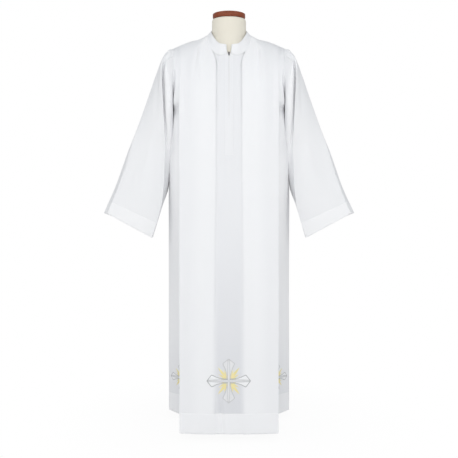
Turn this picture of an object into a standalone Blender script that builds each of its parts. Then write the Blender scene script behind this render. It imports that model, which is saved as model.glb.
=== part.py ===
"""An alb, the long white vestment, hanging open and empty on a limbless dress form.

Metres, +Z up, origin at the middle of the stand's underside. The wearer's front looks along -Y.
Heights of the cloth and of the form, written h, count from the hem, so the neck point's h is the
alb's length. Only the half at +X is worked out; the other half is its mirror image.
"""
import math

import bpy
import numpy as np

# Driving sizes
HEM_HEIGHT = 0.025
CLOTH_WALL = 0.0014
COLLAR_WALL = 0.0018
PLACKET_WALL = 0.0010
SEAM_GAP = 0.0005
SHOULDER_GAP = 0.0009
TOUCH_GAP = 0.0003

# Zip opening and placket
SLIT_HALF_WIDTH = 0.0004
SLIT_END_H = 1.120
PLACKET_END_H = 0.987
PLACKET_HALF_WIDTH = 0.0145
NOTCH_WIDTHS = (0.0046, 0.0022)

# Front pleats: three layers of cloth, one behind the other
PLEAT_STEP = 0.0024
PLEAT_UNDERLAY = 0.020

# Rows of the yoke, as shares of the way from the top seam to the underarm
YOKE_ROWS = (0, 0.03, 0.06, 0.09, 0.12, 0.15, 0.19, 0.26, 0.36, 0.50, 0.66, 0.83, 1)
UNDERARM_H = 1.160
SKIRT_ROWS = (SLIT_END_H, 1.055, PLACKET_END_H, 0.86, 0.71, 0.50, 0.27, 0.065, 0)
HEM_DIPS = (-0.004, -0.010, -0.005, 0.002, 0.0)  # how far the hem drops behind the front panel
FOLD_START = 0.35
# The columns between the front or back panel and the armhole, as shares of the way across.
FRONT_SPREADS = (0.175, 0.35, 0.57, 0.79, 1)
BACK_SPREADS = (0.35, 0.70, 1)
YOKE_SAG = 0.014

# Columns of the front. A leave is the way that a column's cloth sets off from its seam.
SLIT_LEAVE = (0, -0.32, -1)
PLACKET_SHARE = 0.085
# From the placket to the pleat: share of the pleat's edge, share of the neck, leave.
FLAT_COLUMNS = ((0.60, 0.20, (0, -0.35, -1)), (0.78, 0.31, (-0.2, -0.42, -1)))
PLEAT_COLUMN = 5
PLEAT_LINES = 5
PLEAT_SHARE = 0.405
PLEAT_LEAVE = (-0.35, -0.55, -1)
PLEAT_EASE = 0.0035
# The hidden layers end short of the neck seam by this share of the first row.
PLEAT_SHORT = 0.18
# Between the pleat and the shoulder: share of the neck, leave.
BESIDE_NECK = ((0.54, (-0.12, -0.65, -0.82)), (0.67, (0.35, -0.7, -0.6)), (1, (0.5, -0.8, -0.42)))
SHOULDER_COLUMNS = (0.110, 0.145, 0.178)
SHOULDER_LEAVE = (0, -1, -0.22)
# On the skirt, from the pleat to the panel's pressed edge and from there to the side fold.
PANEL_SHARES = (0.14, 0.29, 0.46, 0.64, 0.82)
SIDE_SHARE = 0.55

# Columns of the back
BACK_NECK_SHARES = (0, 0.17, 0.35, 0.50, 0.65, 0.82, 1)
BACK_LEAVE_X = 0.4
BACK_LEAVE_DROPS = (-0.75, -0.30)
BACK_WAVES = 2.25
BACK_FULLNESS = 0.55

# Sleeve
SLEEVE_RINGS = 14
HEAD_SHIFT = 0.0014
UNDERARM_SHIFT = 0.0013
UNDERARM_START = 0.55
UNDERARM_FULL = 0.90
CREST_HALF_WIDTH = 0.0055
VALLEY_HALF_WIDTH = 0.0017
FACE_SHARES = (0.36, 0.70)
INNER_SHARES = (0.05, 0.08, 0.14, 0.28, 0.42, 0.64, 0.84)
BELLY_SHARES = (0.35, 0.70)
BELLY_POWER = 2.5
BELLY_RINGS = 9
BACK_SPREAD_RINGS = 7
BACK_BULGE_POWER = 0.6

# Dress form and stand
FORM_SHARES = (1, 0.965, 0.87, 0.73, 0.57, 0.43, 0.31, 0.20, 0.10, 0)
FORM_BLEND = 8
NECK_HALF_WIDTH = 0.0643
CAP_RADIUS = 0.0612
CAP_HEIGHT = 0.018
CAP_ROUNDING = 0.004
CAP_ARC_STEPS = 4
EDGE_CUT = 0.001
POLE_RADIUS = 0.0125
POLE_SEGMENTS = 24
BASE_RADIUS = 0.150
BASE_EDGE = 0.006
BASE_RISE = 0.009
BOSS_RADIUS = 0.028
BOSS_FOOT = 0.006
BOSS_TAPER = 0.8
BOSS_HEIGHT = 0.045
BOSS_EDGE = 0.003
ROUND_SEGMENTS = 48


def table(names, *rows):
    """Rows of numbers as one array for each named column."""
    return {name: np.array(values, float) for name, values in zip(names.split(), zip(*rows))}


NECK_FRONT = table(
    "share   x       y        h",
    (0.00, 0.0000, -0.0850, 1.365),
    (0.20, 0.0333, -0.0830, 1.359),
    (0.41, 0.0620, -0.0625, 1.379),
    (0.67, 0.0757, -0.0350, 1.411),
    (1.00, 0.0800, 0.0050, 1.448),
)
NECK_BACK = table(
    "share   x       y       h",
    (0.00, 0.0000, 0.0680, 1.459),
    (0.35, 0.0480, 0.0590, 1.458),
    (0.65, 0.0740, 0.0360, 1.454),
    (1.00, 0.0800, 0.0050, 1.448),
)
SHOULDER = table(
    "x       y      h",
    (0.080, 0.005, 1.448),
    (0.110, 0.006, 1.433),
    (0.145, 0.007, 1.4245),
    (0.178, 0.008, 1.4125),
    (0.198, 0.009, 1.404),
    (0.208, 0.010, 1.400),
)
ARMHOLE_FRONT = table(
    "share   x       y        h",
    (0.00, 0.2080, 0.0100, 1.400),
    (0.15, 0.2068, -0.0340, 1.380),
    (0.36, 0.2045, -0.0780, 1.328),
    (0.50, 0.2038, -0.0930, 1.284),
    (0.66, 0.2040, -0.0880, 1.232),
    (0.83, 0.2066, -0.0500, 1.186),
    (1.00, 0.2120, 0.0200, 1.160),
)
ARMHOLE_BACK = table(
    "share   x       y       h",
    (0.00, 0.2080, 0.0100, 1.400),
    (0.15, 0.2072, 0.0520, 1.377),
    (0.36, 0.2055, 0.0900, 1.324),
    (0.50, 0.2050, 0.1000, 1.280),
    (0.66, 0.2055, 0.0970, 1.232),
    (0.83, 0.2075, 0.0720, 1.188),
    (1.00, 0.2120, 0.0200, 1.160),
)
# The body below the underarm. edge: pressed edge of the front panel. fold: bottom of the deep side
# fold. side: on the side panel. crease: pressed crease at the side. seam: side seam behind it.
BODY = table(
    "h edge_x edge_y bow fold_x fold_y side_x side_y crease_x crease_y seam_x seam_y back_y wave",
    (1.16, 0.1800, -0.134, 0.012, 0.180, -0.100, 0.1985, -0.070, 0.2095, -0.004, 0.2120, 0.020, 0.150, 0.002),
    (1.07, 0.1797, -0.142, 0.012, 0.172, -0.118, 0.2000, -0.092, 0.2186, 0.018, 0.2185, 0.038, 0.165, 0.005),
    (0.95, 0.1790, -0.152, 0.012, 0.164, -0.120, 0.2020, -0.086, 0.2275, 0.036, 0.2272, 0.054, 0.178, 0.008),
    (0.86, 0.1783, -0.160, 0.012, 0.158, -0.116, 0.2030, -0.072, 0.2328, 0.046, 0.2326, 0.064, 0.186, 0.010),
    (0.57, 0.1772, -0.185, 0.012, 0.155, -0.060, 0.197, -0.016, 0.2340, 0.050, 0.2338, 0.069, 0.203, 0.014),
    (0.27, 0.1761, -0.211, 0.013, 0.160, -0.020, 0.197, 0.010, 0.2350, 0.052, 0.2348, 0.071, 0.214, 0.017),
    (0.00, 0.1751, -0.235, 0.013, 0.163, 0.000, 0.197, 0.024, 0.2360, 0.054, 0.2357, 0.073, 0.222, 0.019),
)
PLEAT_EDGE = table(
    "h     x",
    (0.00, 0.0505),
    (0.47, 0.0504),
    (1.00, 0.0474),
    (1.16, 0.0476),
)
# The pleat near the neck. x: its edge. underlay: width of its hidden layers.
PLEAT_YOKE = table(
    "share x       underlay",
    (0.00, 0.0615, 0.004),
    (0.06, 0.0580, 0.007),
    (0.12, 0.0530, 0.012),
    (0.19, 0.0490, 0.018),
    (0.30, 0.0478, 0.020),
    (1.00, 0.0476, 0.020),
)
# The sleeve from ring 1 to the cuff. outer: back of its outer side. side: front of its outer side.
# fold: inner edge of the front face. edge: where the cloth behind it turns under the arm.
# under: the underarm line. back_y: how far the back face bellies out.
SLEEVE = table(
    "ring outer_x outer_h side_x fold_x fold_y fold_h edge_x edge_y under_x under_h back_y",
    (1, 0.2256, 1.392, 0.2245, 0.2285, -0.054, 1.368, 0.2100, -0.102, 0.2150, 1.148, 0.094),
    (2, 0.2388, 1.3767, 0.2376, 0.2395, -0.062, 1.353, 0.2110, -0.108, 0.2160, 1.143, 0.092),
    (4, 0.2616, 1.3317, 0.2598, 0.2495, -0.078, 1.304, 0.2112, -0.112, 0.2180, 1.130, 0.086),
    (6, 0.3000, 1.2300, 0.2965, 0.2430, -0.086, 1.205, 0.2120, -0.099, 0.2210, 1.100, 0.078),
    (8, 0.3384, 1.1283, 0.3330, 0.2385, -0.078, 1.087, 0.2162, -0.076, 0.2255, 1.040, 0.070),
    (9, 0.3615, 1.0715, 0.3540, 0.2365, -0.071, 1.020, 0.2198, -0.058, 0.2280, 0.990, 0.066),
    (10, 0.3845, 1.0147, 0.3735, 0.2398, -0.067, 0.955, 0.2265, -0.036, 0.2300, 0.935, 0.062),
    (11, 0.4097, 0.9445, 0.3940, 0.2440, -0.062, 0.875, 0.2330, -0.026, 0.2325, 0.870, 0.058),
    (12, 0.4349, 0.8742, 0.4180, 0.2525, -0.057, 0.808, 0.2510, -0.024, 0.2545, 0.808, 0.054),
    (14, 0.4797, 0.7748, 0.4591, 0.2905, -0.045, 0.6835, 0.2900, -0.014, 0.2950, 0.6835, 0.045),
)
# The roll of cloth between fold and edge: the bottom of the valley outside it, and its crest.
SLEEVE_ROLL = table(
    "ring valley_x valley_y crest_x crest_y",
    (1, 0.2240, -0.052, 0.2165, -0.096),
    (2, 0.2340, -0.056, 0.2225, -0.110),
    (4, 0.2435, -0.064, 0.2250, -0.119),
    (6, 0.2380, -0.070, 0.2230, -0.111),
    (8, 0.2340, -0.064, 0.2235, -0.090),
    (9, 0.2330, -0.064, 0.2252, -0.070),
    (11, 0.2415, -0.054, 0.2375, -0.050),
)
ROLL_RINGS = (6, 11)
PLAIN_SHARES = (0.2, 0.4, 0.6, 0.8)
SLEEVE_OUTER_Y = 0.020
SLEEVE_SIDE_Y = table("ring y", (1, -0.010), (4, -0.019), (8, -0.026), (14, -0.030))
SLEEVE_UNDER_Y = 0.020
SLEEVE_FACE_BULGE = 0.010

COLLAR_TOP_FRONT = table(
    "share   x       y        h",
    (0.00, 0.0000, -0.0750, 1.3966),
    (0.20, 0.0335, -0.0660, 1.4030),
    (0.41, 0.0515, -0.0460, 1.4235),
    (0.67, 0.0648, -0.0200, 1.4500),
    (1.00, 0.0662, 0.0040, 1.4630),
)
COLLAR_TOP_BACK = table(
    "share   x       y       h",
    (0.00, 0.0000, 0.0610, 1.482),
    (0.35, 0.0400, 0.0515, 1.479),
    (0.65, 0.0615, 0.0310, 1.471),
    (1.00, 0.0662, 0.0040, 1.463),
)
# Columns of the front and back that the collar's lines start from, and their shares of the top edge
COLLAR_FRONT_LINES = (
    (0, 0.0), (1, 0.085), (2, 0.20), (3, 0.31), (8, 0.405), (9, 0.54), (10, 0.67), (11, 1.0),
)
COLLAR_BACK_LINES = ((5, 0.82), (4, 0.65), (3, 0.50), (2, 0.35), (1, 0.17), (0, 0.0))
COLLAR_NOTCH = table(
    "share half_width",
    (0.00, 0.0052),
    (0.20, 0.0078),
    (0.40, 0.0092),
    (1.00, 0.0095),
)

# Each ring of the form is an oval neck joined with a body, whose section is an oval where pinch is
# 0.5 and thins out towards the shoulders where it is more.
FORM = table(
    "h     half_width front back   middle pinch neck_front neck_back",
    (1.5047, 0.0620, 0.0000, 0.0000, -0.004, 0.5, 0.0575, 0.0575),
    (1.4990, 0.0643, 0.0000, 0.0000, -0.004, 0.5, 0.0600, 0.0600),
    (1.4720, 0.0643, 0.0000, 0.0000, -0.004, 0.5, 0.0600, 0.0600),
    (1.4560, 0.0643, 0.0000, 0.0000, -0.002, 0.5, 0.0620, 0.0580),
    (1.4430, 0.0725, 0.0300, 0.0300, 0.004, 1.0, 0.0680, 0.0530),
    (1.4312, 0.1080, 0.0600, 0.0560, 0.006, 2.4, 0.0700, 0.0520),
    (1.4233, 0.1450, 0.0650, 0.0620, 0.007, 3.1, 0.0710, 0.0530),
    (1.4113, 0.1780, 0.0690, 0.0670, 0.008, 3.1, 0.0720, 0.0560),
    (1.3980, 0.1925, 0.0720, 0.0720, 0.008, 3.4, 0.0720, 0.0600),
    (1.3700, 0.1965, 0.0770, 0.0800, 0.005, 2.8, 0.0690, 0.0600),
    (1.3300, 0.1930, 0.0870, 0.0900, 0.003, 1.6, 0.0000, 0.0000),
    (1.2700, 0.1850, 0.0990, 0.1040, 0.000, 0.8, 0.0000, 0.0000),
    (1.1900, 0.1740, 0.1100, 0.1120, 0.000, 0.6, 0.0000, 0.0000),
    (1.1000, 0.1610, 0.1080, 0.1080, 0.000, 0.5, 0.0000, 0.0000),
    (0.9900, 0.1500, 0.0980, 0.1000, 0.000, 0.5, 0.0000, 0.0000),
    (0.9000, 0.1540, 0.1000, 0.1080, 0.000, 0.5, 0.0000, 0.0000),
    (0.8000, 0.1620, 0.1060, 0.1180, 0.000, 0.5, 0.0000, 0.0000),
    (0.7600, 0.1600, 0.1040, 0.1160, 0.000, 0.5, 0.0000, 0.0000),
    (0.7500, 0.1500, 0.0940, 0.1060, 0.000, 0.5, 0.0000, 0.0000),
)


def curve(knots, values, at):
    """Monotone cubic through the knots, read at one place or many."""
    at = np.asarray(at, float)
    steps = np.diff(knots)
    rises = np.diff(values) / steps
    slopes = np.zeros(len(knots))
    slopes[0], slopes[-1] = rises[0], rises[-1]
    for i in range(1, len(knots) - 1):
        if rises[i - 1] * rises[i] > 0:
            before = 2 * steps[i] + steps[i - 1]
            after = steps[i] + 2 * steps[i - 1]
            slopes[i] = (before + after) / (before / rises[i - 1] + after / rises[i])
    i = np.clip(np.searchsorted(knots, at, side="right") - 1, 0, len(knots) - 2)
    t = np.clip((at - knots[i]) / steps[i], 0, 1)
    return (
        values[i] * (1 + 2 * t) * (1 - t) ** 2
        + slopes[i] * steps[i] * t * (1 - t) ** 2
        + values[i + 1] * t ** 2 * (3 - 2 * t)
        - slopes[i + 1] * steps[i] * t ** 2 * (1 - t)
    )


def read(rows, name, at):
    """Column `name` of a table, read at a value of its first column."""
    key = next(iter(rows))
    knots, values = rows[key], rows[name]
    if knots[0] > knots[-1]:
        knots, values = knots[::-1], values[::-1]
    return curve(knots, values, at)


def point(rows, at):
    """The point (x, y, h) that a table's line passes at `at`."""
    key = next(iter(rows))
    x = at if key == "x" else read(rows, "x", at)
    return np.array([x, read(rows, "y", at), read(rows, "h", at)], float)


def unit(vector):
    return np.asarray(vector, float) / np.linalg.norm(vector)


def square_to(vector, along):
    """The part of a vector square to a direction."""
    along = unit(along)
    return vector - along * float(vector @ along)


def mix(a, b, share):
    return a + (b - a) * share


def ease(t):
    t = min(max(t, 0.0), 1.0)
    return t * t * (3 - 2 * t)


# Body panels

def front_y(x, h):
    """Depth of the front panel, which bows forward between its pressed edges."""
    share = x / read(BODY, "edge_x", h)
    return read(BODY, "edge_y", h) - read(BODY, "bow", h) * (1 - share ** 2)


def front_section(h):
    """The front's columns at height h, from the slit to the side seam."""
    pleat = float(read(PLEAT_EDGE, "x", h))
    under = pleat + PLEAT_UNDERLAY
    edge = float(read(BODY, "edge_x", h))
    flat = [SLIT_HALF_WIDTH, PLACKET_HALF_WIDTH] + [pleat * share for share, *_ in FLAT_COLUMNS]
    flat.append(pleat - PLEAT_EASE)
    columns = [(x, front_y(x, h) + 2 * PLEAT_STEP) for x in flat]
    columns += [(under, front_y(under, h) + 2 * PLEAT_STEP), (under, front_y(under, h) + PLEAT_STEP)]
    columns += [(pleat, front_y(pleat, h) + PLEAT_STEP), (pleat, front_y(pleat, h))]
    for share in PANEL_SHARES:
        x = mix(pleat, edge, share)
        columns.append((x, front_y(x, h)))
    side = {name: float(read(BODY, name, h)) for name in BODY}
    columns.append((edge, side["edge_y"]))
    fold = (side["fold_x"], side["fold_y"])
    columns.append((mix(edge, fold[0], SIDE_SHARE), mix(side["edge_y"], fold[1], SIDE_SHARE)))
    columns.append(fold)
    columns += [(side[name + "_x"], side[name + "_y"]) for name in ("side", "crease", "seam")]
    return np.array([(x, y, h) for x, y in columns])


def back_section(h, columns):
    """The back's columns at height h, from the centre to the side seam, in soft folds."""
    seam_x, seam_y = float(read(BODY, "seam_x", h)), float(read(BODY, "seam_y", h))
    back_y, wave = float(read(BODY, "back_y", h)), float(read(BODY, "wave", h))
    points = []
    for share in np.linspace(0, 1, columns):
        angle = share * math.pi / 2
        fold = wave * math.cos(2 * math.pi * BACK_WAVES * share) * (1 - share ** 4)
        x = seam_x * math.sin(angle) + fold * math.sin(angle)
        y = seam_y + (back_y - seam_y) * math.cos(angle) ** BACK_FULLNESS + fold * math.cos(angle)
        points.append((x, y, h))
    return np.array(points)


def yoke(tops, leaves, bottoms, below, armhole, spreads):
    """Rows from the top seam to the underarm, each column a smooth curve.

    The columns beyond the tops lie between the last of them and the armhole's edge near the
    shoulder, and reach their own places in the side fold at the underarm.
    """
    rows = []
    last = len(tops) - 1
    for share in YOKE_ROWS:
        row = []
        for top, leave, bottom, under in zip(tops, leaves, bottoms, below):
            reach = np.linalg.norm(bottom - top)
            start, end = unit(leave) * reach, unit(under - bottom) * reach
            t = share
            row.append(
                top * (1 + 2 * t) * (1 - t) ** 2
                + start * t * (1 - t) ** 2
                + bottom * t ** 2 * (3 - 2 * t)
                - end * t ** 2 * (1 - t)
            )
        way = min(max((share - FOLD_START) / (1 - FOLD_START), 0), 1)
        sag = YOKE_SAG * math.sin(math.pi * way ** 2)
        for i, spread in enumerate(spreads, 1):
            plain = mix(row[last], point(armhole, share), spread)
            landing = mix(bottoms[last], point(armhole, 1), spread)
            row.append(plain + ease(way) * (bottoms[last + i] - landing))
            row[-1][2] -= sag * math.sin(math.pi * spread)
        rows.append(row)
    return np.array(rows)


def front_tops():
    """Where each column of the front starts, and the way it leaves the seam."""
    shares = [0, PLACKET_SHARE] + [share for _, share, _ in FLAT_COLUMNS]
    tops = [point(NECK_FRONT, share) + [0, 2 * PLEAT_STEP, 0] for share in shares]
    leaves = [SLIT_LEAVE, SLIT_LEAVE] + [leave for *_, leave in FLAT_COLUMNS]
    tops[0][0] = SLIT_HALF_WIDTH
    tops[1][0] = PLACKET_HALF_WIDTH
    for _ in range(PLEAT_LINES):
        tops.append(point(NECK_FRONT, PLEAT_SHARE))
        leaves.append(PLEAT_LEAVE)
    for share, leave in BESIDE_NECK:
        tops.append(point(NECK_FRONT, share))
        leaves.append(leave)
    for x in SHOULDER_COLUMNS:
        tops.append(point(SHOULDER, x))
        leaves.append(SHOULDER_LEAVE)
    return tops, leaves


def back_tops():
    """Where each column of the back starts, and the way it leaves the seam."""
    tops, leaves = [], []
    for share in BACK_NECK_SHARES:
        tops.append(point(NECK_BACK, share))
        leaves.append((BACK_LEAVE_X * share ** 2, 1, mix(*BACK_LEAVE_DROPS, share)))
    for x in SHOULDER_COLUMNS:
        tops.append(point(SHOULDER, x))
        leaves.append(np.multiply(SHOULDER_LEAVE, (1, -1, 1)))
    return tops, leaves


def lay_pleat(rows):
    """Puts a pleat's two hidden layers behind the front layer, which starts at its edge."""
    front = rows[:, PLEAT_COLUMN + 3:]
    front[:, 0, 0] = read(PLEAT_YOKE, "x", YOKE_ROWS)
    downs = np.gradient(front[:, 0], axis=0)
    for row, line, down, share in zip(rows, front, downs, YOKE_ROWS):
        edge = line[0]
        step = unit(np.cross(line[1] - edge, down)) * PLEAT_STEP
        x = edge[0] + float(read(PLEAT_YOKE, "underlay", share))
        under = np.array([np.interp(x, line[:4, 0], line[:4, axis]) for axis in range(3)])
        row[PLEAT_COLUMN:PLEAT_COLUMN + 3] = under + 2 * step, under + step, edge + step
        row[PLEAT_COLUMN - 1] = edge + 2 * step + unit(edge - under) * PLEAT_EASE
    hidden = rows[:, PLEAT_COLUMN - 1:PLEAT_COLUMN + 3]
    hidden[0] = mix(hidden[0], hidden[1], PLEAT_SHORT)


def front_grid():
    tops, leaves = front_tops()
    bottoms, below = front_section(UNDERARM_H), front_section(SLIT_END_H)
    grid = yoke(tops, leaves, bottoms, below, ARMHOLE_FRONT, FRONT_SPREADS)
    lay_pleat(grid)
    for row, width in enumerate(NOTCH_WIDTHS):
        grid[row, 0, 0] = width
    skirt = np.array([front_section(h) for h in SKIRT_ROWS])
    skirt[-1, -len(HEM_DIPS):, 2] += HEM_DIPS
    return np.concatenate([grid, skirt])


def back_grid():
    tops, leaves = back_tops()
    count = len(tops) + len(BACK_SPREADS)
    bottoms, below = back_section(UNDERARM_H, count), back_section(SLIT_END_H, count)
    grid = yoke(tops, leaves, bottoms, below, ARMHOLE_BACK, BACK_SPREADS)
    return np.concatenate([grid, [back_section(h, count) for h in SKIRT_ROWS]])


def pull_in(grid, row=None, column=None, distance=SEAM_GAP / 2):
    """Shortens a panel at one edge, towards the next line of points."""
    if row is not None:
        edge, beside = grid[row], grid[row + 1 if row >= 0 else row - 1]
    else:
        edge, beside = grid[:, column], grid[:, column + 1 if column >= 0 else column - 1]
    ways = beside - edge
    edge += ways / np.linalg.norm(ways, axis=1, keepdims=True) * distance


# Sleeve

def sleeve_ring(ring):
    """One ring of the sleeve, from the outer side over the front, under the arm and up the back."""
    v = {name: float(read(SLEEVE, name, ring)) for name in SLEEVE}
    outer = np.array([v["outer_x"], SLEEVE_OUTER_Y, v["outer_h"]])
    side = np.array([v["side_x"], float(read(SLEEVE_SIDE_Y, "y", ring)), v["outer_h"] - 0.001])
    fold = np.array([v["fold_x"], v["fold_y"], v["fold_h"]])
    under = np.array([v["under_x"], SLEEVE_UNDER_Y, v["under_h"]])
    points = [outer, side]
    for share in FACE_SHARES:
        bulge = SLEEVE_FACE_BULGE * math.sin(math.pi * share)
        points.append(mix(side, fold, share) - [0, bulge, 0])
    points.append(fold)
    heights = [mix(v["fold_h"], v["under_h"], share) for share in INNER_SHARES]
    edge = np.array([v["edge_x"], v["edge_y"], heights[4]])
    r = {name: float(read(SLEEVE_ROLL, name, min(ring, ROLL_RINGS[1]))) for name in SLEEVE_ROLL}
    rolled = (
        (r["valley_x"] + VALLEY_HALF_WIDTH, r["valley_y"]),
        (r["valley_x"] - VALLEY_HALF_WIDTH, r["valley_y"]),
        (r["crest_x"] + CREST_HALF_WIDTH, r["crest_y"]),
        (r["crest_x"] - CREST_HALF_WIDTH, r["crest_y"]),
    )
    fade = ease((ring - ROLL_RINGS[0]) / (ROLL_RINGS[1] - ROLL_RINGS[0]))
    for place, height, share in zip(rolled, heights, PLAIN_SHARES):
        points.append(mix(np.array([*place, height]), mix(fold, edge, share), fade))
    points.append(edge)
    belly = mix(BELLY_POWER, 1.0, ease(ring / BELLY_RINGS))
    for height, share in zip(heights[-len(BELLY_SHARES):], BELLY_SHARES):
        x = mix(edge[0], under[0], share)
        points.append(np.array([x, mix(edge[1], under[1], share ** belly), height]))
    points.append(under)
    # The back's lines start bunched at the shoulder and spread out down the sleeve.
    spread = ease(ring / BACK_SPREAD_RINGS)
    for i, start in enumerate(YOKE_ROWS[-2:0:-1], 1):
        share = mix(1 - start, i / (len(YOKE_ROWS) - 1), spread)
        bulge = v["back_y"] * math.sin(math.pi * share) ** BACK_BULGE_POWER
        points.append(mix(under, outer, share) + [0, bulge, 0])
    return np.array(points)


def sleeve_grid():
    """Rings from the armhole to the cuff; the first lies on the body's own edge points."""
    head = [point(ARMHOLE_FRONT, share) for share in YOKE_ROWS]
    head += [point(ARMHOLE_BACK, share) for share in YOKE_ROWS[-2:0:-1]]
    shares = YOKE_ROWS + YOKE_ROWS[-2:0:-1]
    for place, share in zip(head, shares):
        way = (share - UNDERARM_START) / (UNDERARM_FULL - UNDERARM_START)
        place[0] += HEAD_SHIFT + UNDERARM_SHIFT * ease(way)
    return np.array([head] + [sleeve_ring(ring) for ring in range(1, SLEEVE_RINGS + 1)])


# Collar

def collar_grid():
    """The stand band's half, from the notch to the centre back, as rows from its seam up.

    Its lower edge keeps off the panels' walls: further where the collar turns up more sharply.
    """
    front, back = front_grid(), back_grid()
    pairs, tops = [], []
    for column, share in COLLAR_FRONT_LINES:
        depth = PLEAT_STEP if column < PLEAT_COLUMN else 0
        pairs.append(front[:2, column] - [0, depth, 0])
        tops.append(point(COLLAR_TOP_FRONT, share))
    for column, share in COLLAR_BACK_LINES:
        pairs.append(back[:2, column])
        tops.append(point(COLLAR_TOP_BACK, share))
    seams = np.array([pair[0] for pair in pairs])
    bottoms = []
    for (seam, below), along, top in zip(pairs, np.gradient(seams, axis=0), tops):
        up = square_to(unit(top - seam), along)
        turn = math.acos(float(unit(up) @ unit(square_to(seam - below, along))))
        gap = SEAM_GAP + (COLLAR_WALL + CLOTH_WALL) / 2 * math.tan(turn / 2)
        bottoms.append(seam + unit(top - seam) * gap / np.linalg.norm(up))
    grid = []
    for share in COLLAR_NOTCH["share"]:
        row = [mix(bottom, top, share) for bottom, top in zip(bottoms, tops)]
        row[0][0] = float(read(COLLAR_NOTCH, "half_width", share))
        grid.append(row)
    return np.array(grid)


# Meshes

def mirrored(half):
    """Both halves of a panel, side by side from -X to +X."""
    other = half[:, ::-1] * [-1, 1, 1]
    return np.concatenate([other, half], axis=1)


def grid_triangles(grid, around=False, open_rows=0):
    """Triangles of a grid of points, cut the same way on both halves.

    The middle strip is left out of the first open_rows rows, which leaves a slit.
    """
    rows, columns = grid.shape[:2]
    middle = columns // 2 - 1
    triangles = []
    for i in range(rows - 1):
        for j in range(columns if around else columns - 1):
            if not around and j == middle and i < open_rows:
                continue
            a, b = i * columns + j, i * columns + (j + 1) % columns
            c, d = b + columns, a + columns
            if around or j <= middle:
                triangles += [(a, b, c), (a, c, d)]
            else:
                triangles += [(a, b, d), (b, c, d)]
    return triangles


def corner_normals(points, triangles):
    """A normal for each point, and how much longer the wall's offset is where the cloth turns."""
    normals = np.zeros_like(points)
    faces = []
    for triangle in triangles:
        corners = points[list(triangle)]
        face = unit(np.cross(corners[1] - corners[0], corners[2] - corners[0]))
        for k in range(3):
            one = unit(corners[(k + 1) % 3] - corners[k])
            two = unit(corners[(k + 2) % 3] - corners[k])
            angle = math.acos(max(-1.0, min(1.0, float(one @ two))))
            normals[triangle[k]] += angle * face
            faces.append((triangle[k], angle, face))
    normals /= np.linalg.norm(normals, axis=1, keepdims=True)
    total, along = np.zeros(len(points)), np.zeros(len(points))
    for index, angle, face in faces:
        total[index] += angle
        along[index] += angle * float(normals[index] @ face)
    return normals, np.clip(total / along, 1.0, 1.5)


def wall(grid, thickness, around=False, open_rows=0, out=0.0):
    """A closed wall of cloth about a grid of points, moved out by `out` first."""
    points = grid.reshape(-1, 3)
    triangles = grid_triangles(grid, around, open_rows)
    normals, stretch = corner_normals(points, triangles)
    offset = normals * stretch[:, None]
    outer = points + offset * (out + thickness / 2)
    inner = points + offset * (out - thickness / 2)
    count = len(points)
    faces = list(triangles) + [(a + count, c + count, b + count) for a, b, c in triangles]
    edges = {}
    for triangle in triangles:
        for k in range(3):
            edge = triangle[k], triangle[(k + 1) % 3]
            edges[edge] = edges.get(edge, 0) + 1
    for a, b in edges:
        if (b, a) not in edges:
            faces += [(b, a, a + count), (b, a + count, b + count)]
    return np.concatenate([outer, inner]), faces


def add_solid(name, points, faces, material, lift=HEM_HEIGHT, sharp_angle=40):
    mesh = bpy.data.meshes.new(name)
    mesh.from_pydata([(x, y, z + lift) for x, y, z in points], [], faces)
    mesh.materials.append(material)
    mesh.shade_smooth()
    mesh.set_sharp_from_angle(angle=math.radians(sharp_angle))
    solid = bpy.data.objects.new(name, mesh)
    bpy.context.scene.collection.objects.link(solid)
    return solid


def make_material(name, colour, roughness, metallic=0.0):
    material = bpy.data.materials.new(name)
    material.use_nodes = True
    shader = material.node_tree.nodes["Principled BSDF"]
    shader.inputs["Base Color"].default_value = (*colour, 1)
    shader.inputs["Roughness"].default_value = roughness
    shader.inputs["Metallic"].default_value = metallic
    return material


def lathe(profile, segments=ROUND_SEGMENTS):
    """A closed turned solid; the profile (radius, z) runs from the axis below to the axis above."""
    points = [(0, 0, profile[0][1])]
    for radius, z in profile[1:-1]:
        for k in range(segments):
            angle = 2 * math.pi * k / segments
            points.append((radius * math.cos(angle), radius * math.sin(angle), z))
    points.append((0, 0, profile[-1][1]))
    return points, ring_faces(len(profile) - 2, segments)


def ring_faces(rings, segments):
    """Faces of stacked rings, closed by a fan at each end."""
    last = 1 + rings * segments
    faces = []
    for k in range(segments):
        n = (k + 1) % segments
        faces.append((0, 1 + n, 1 + k))
        faces.append((last, last - segments + k, last - segments + n))
        for ring in range(rings - 1):
            low, high = 1 + ring * segments, 1 + (ring + 1) * segments
            faces.append((low + k, low + n, high + n, high + k))
    return faces


# The pieces

def build_front(material):
    half = front_grid()
    pull_in(half, row=0, distance=SHOULDER_GAP / 2)
    pull_in(half, column=-1)
    grid = mirrored(half)
    slit_rows = len(YOKE_ROWS) - 1 + SKIRT_ROWS.index(SLIT_END_H) + 1
    add_solid("front", *wall(grid, CLOTH_WALL, open_rows=slit_rows), material)
    last = len(YOKE_ROWS) + SKIRT_ROWS.index(PLACKET_END_H) + 1
    strip = mirrored(half[:last, :2])
    out = CLOTH_WALL / 2 + TOUCH_GAP + PLACKET_WALL / 2
    add_solid("zip_placket", *wall(strip, PLACKET_WALL, open_rows=slit_rows, out=out), material)


def build_back(material):
    half = back_grid()
    pull_in(half, row=0, distance=SHOULDER_GAP / 2)
    pull_in(half, column=-1)
    half[:, 0, 0] = 0.0
    other = half[:, :0:-1] * [-1, 1, 1]
    grid = np.concatenate([other, half], axis=1)[:, ::-1]
    add_solid("back", *wall(grid, CLOTH_WALL), material)


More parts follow.
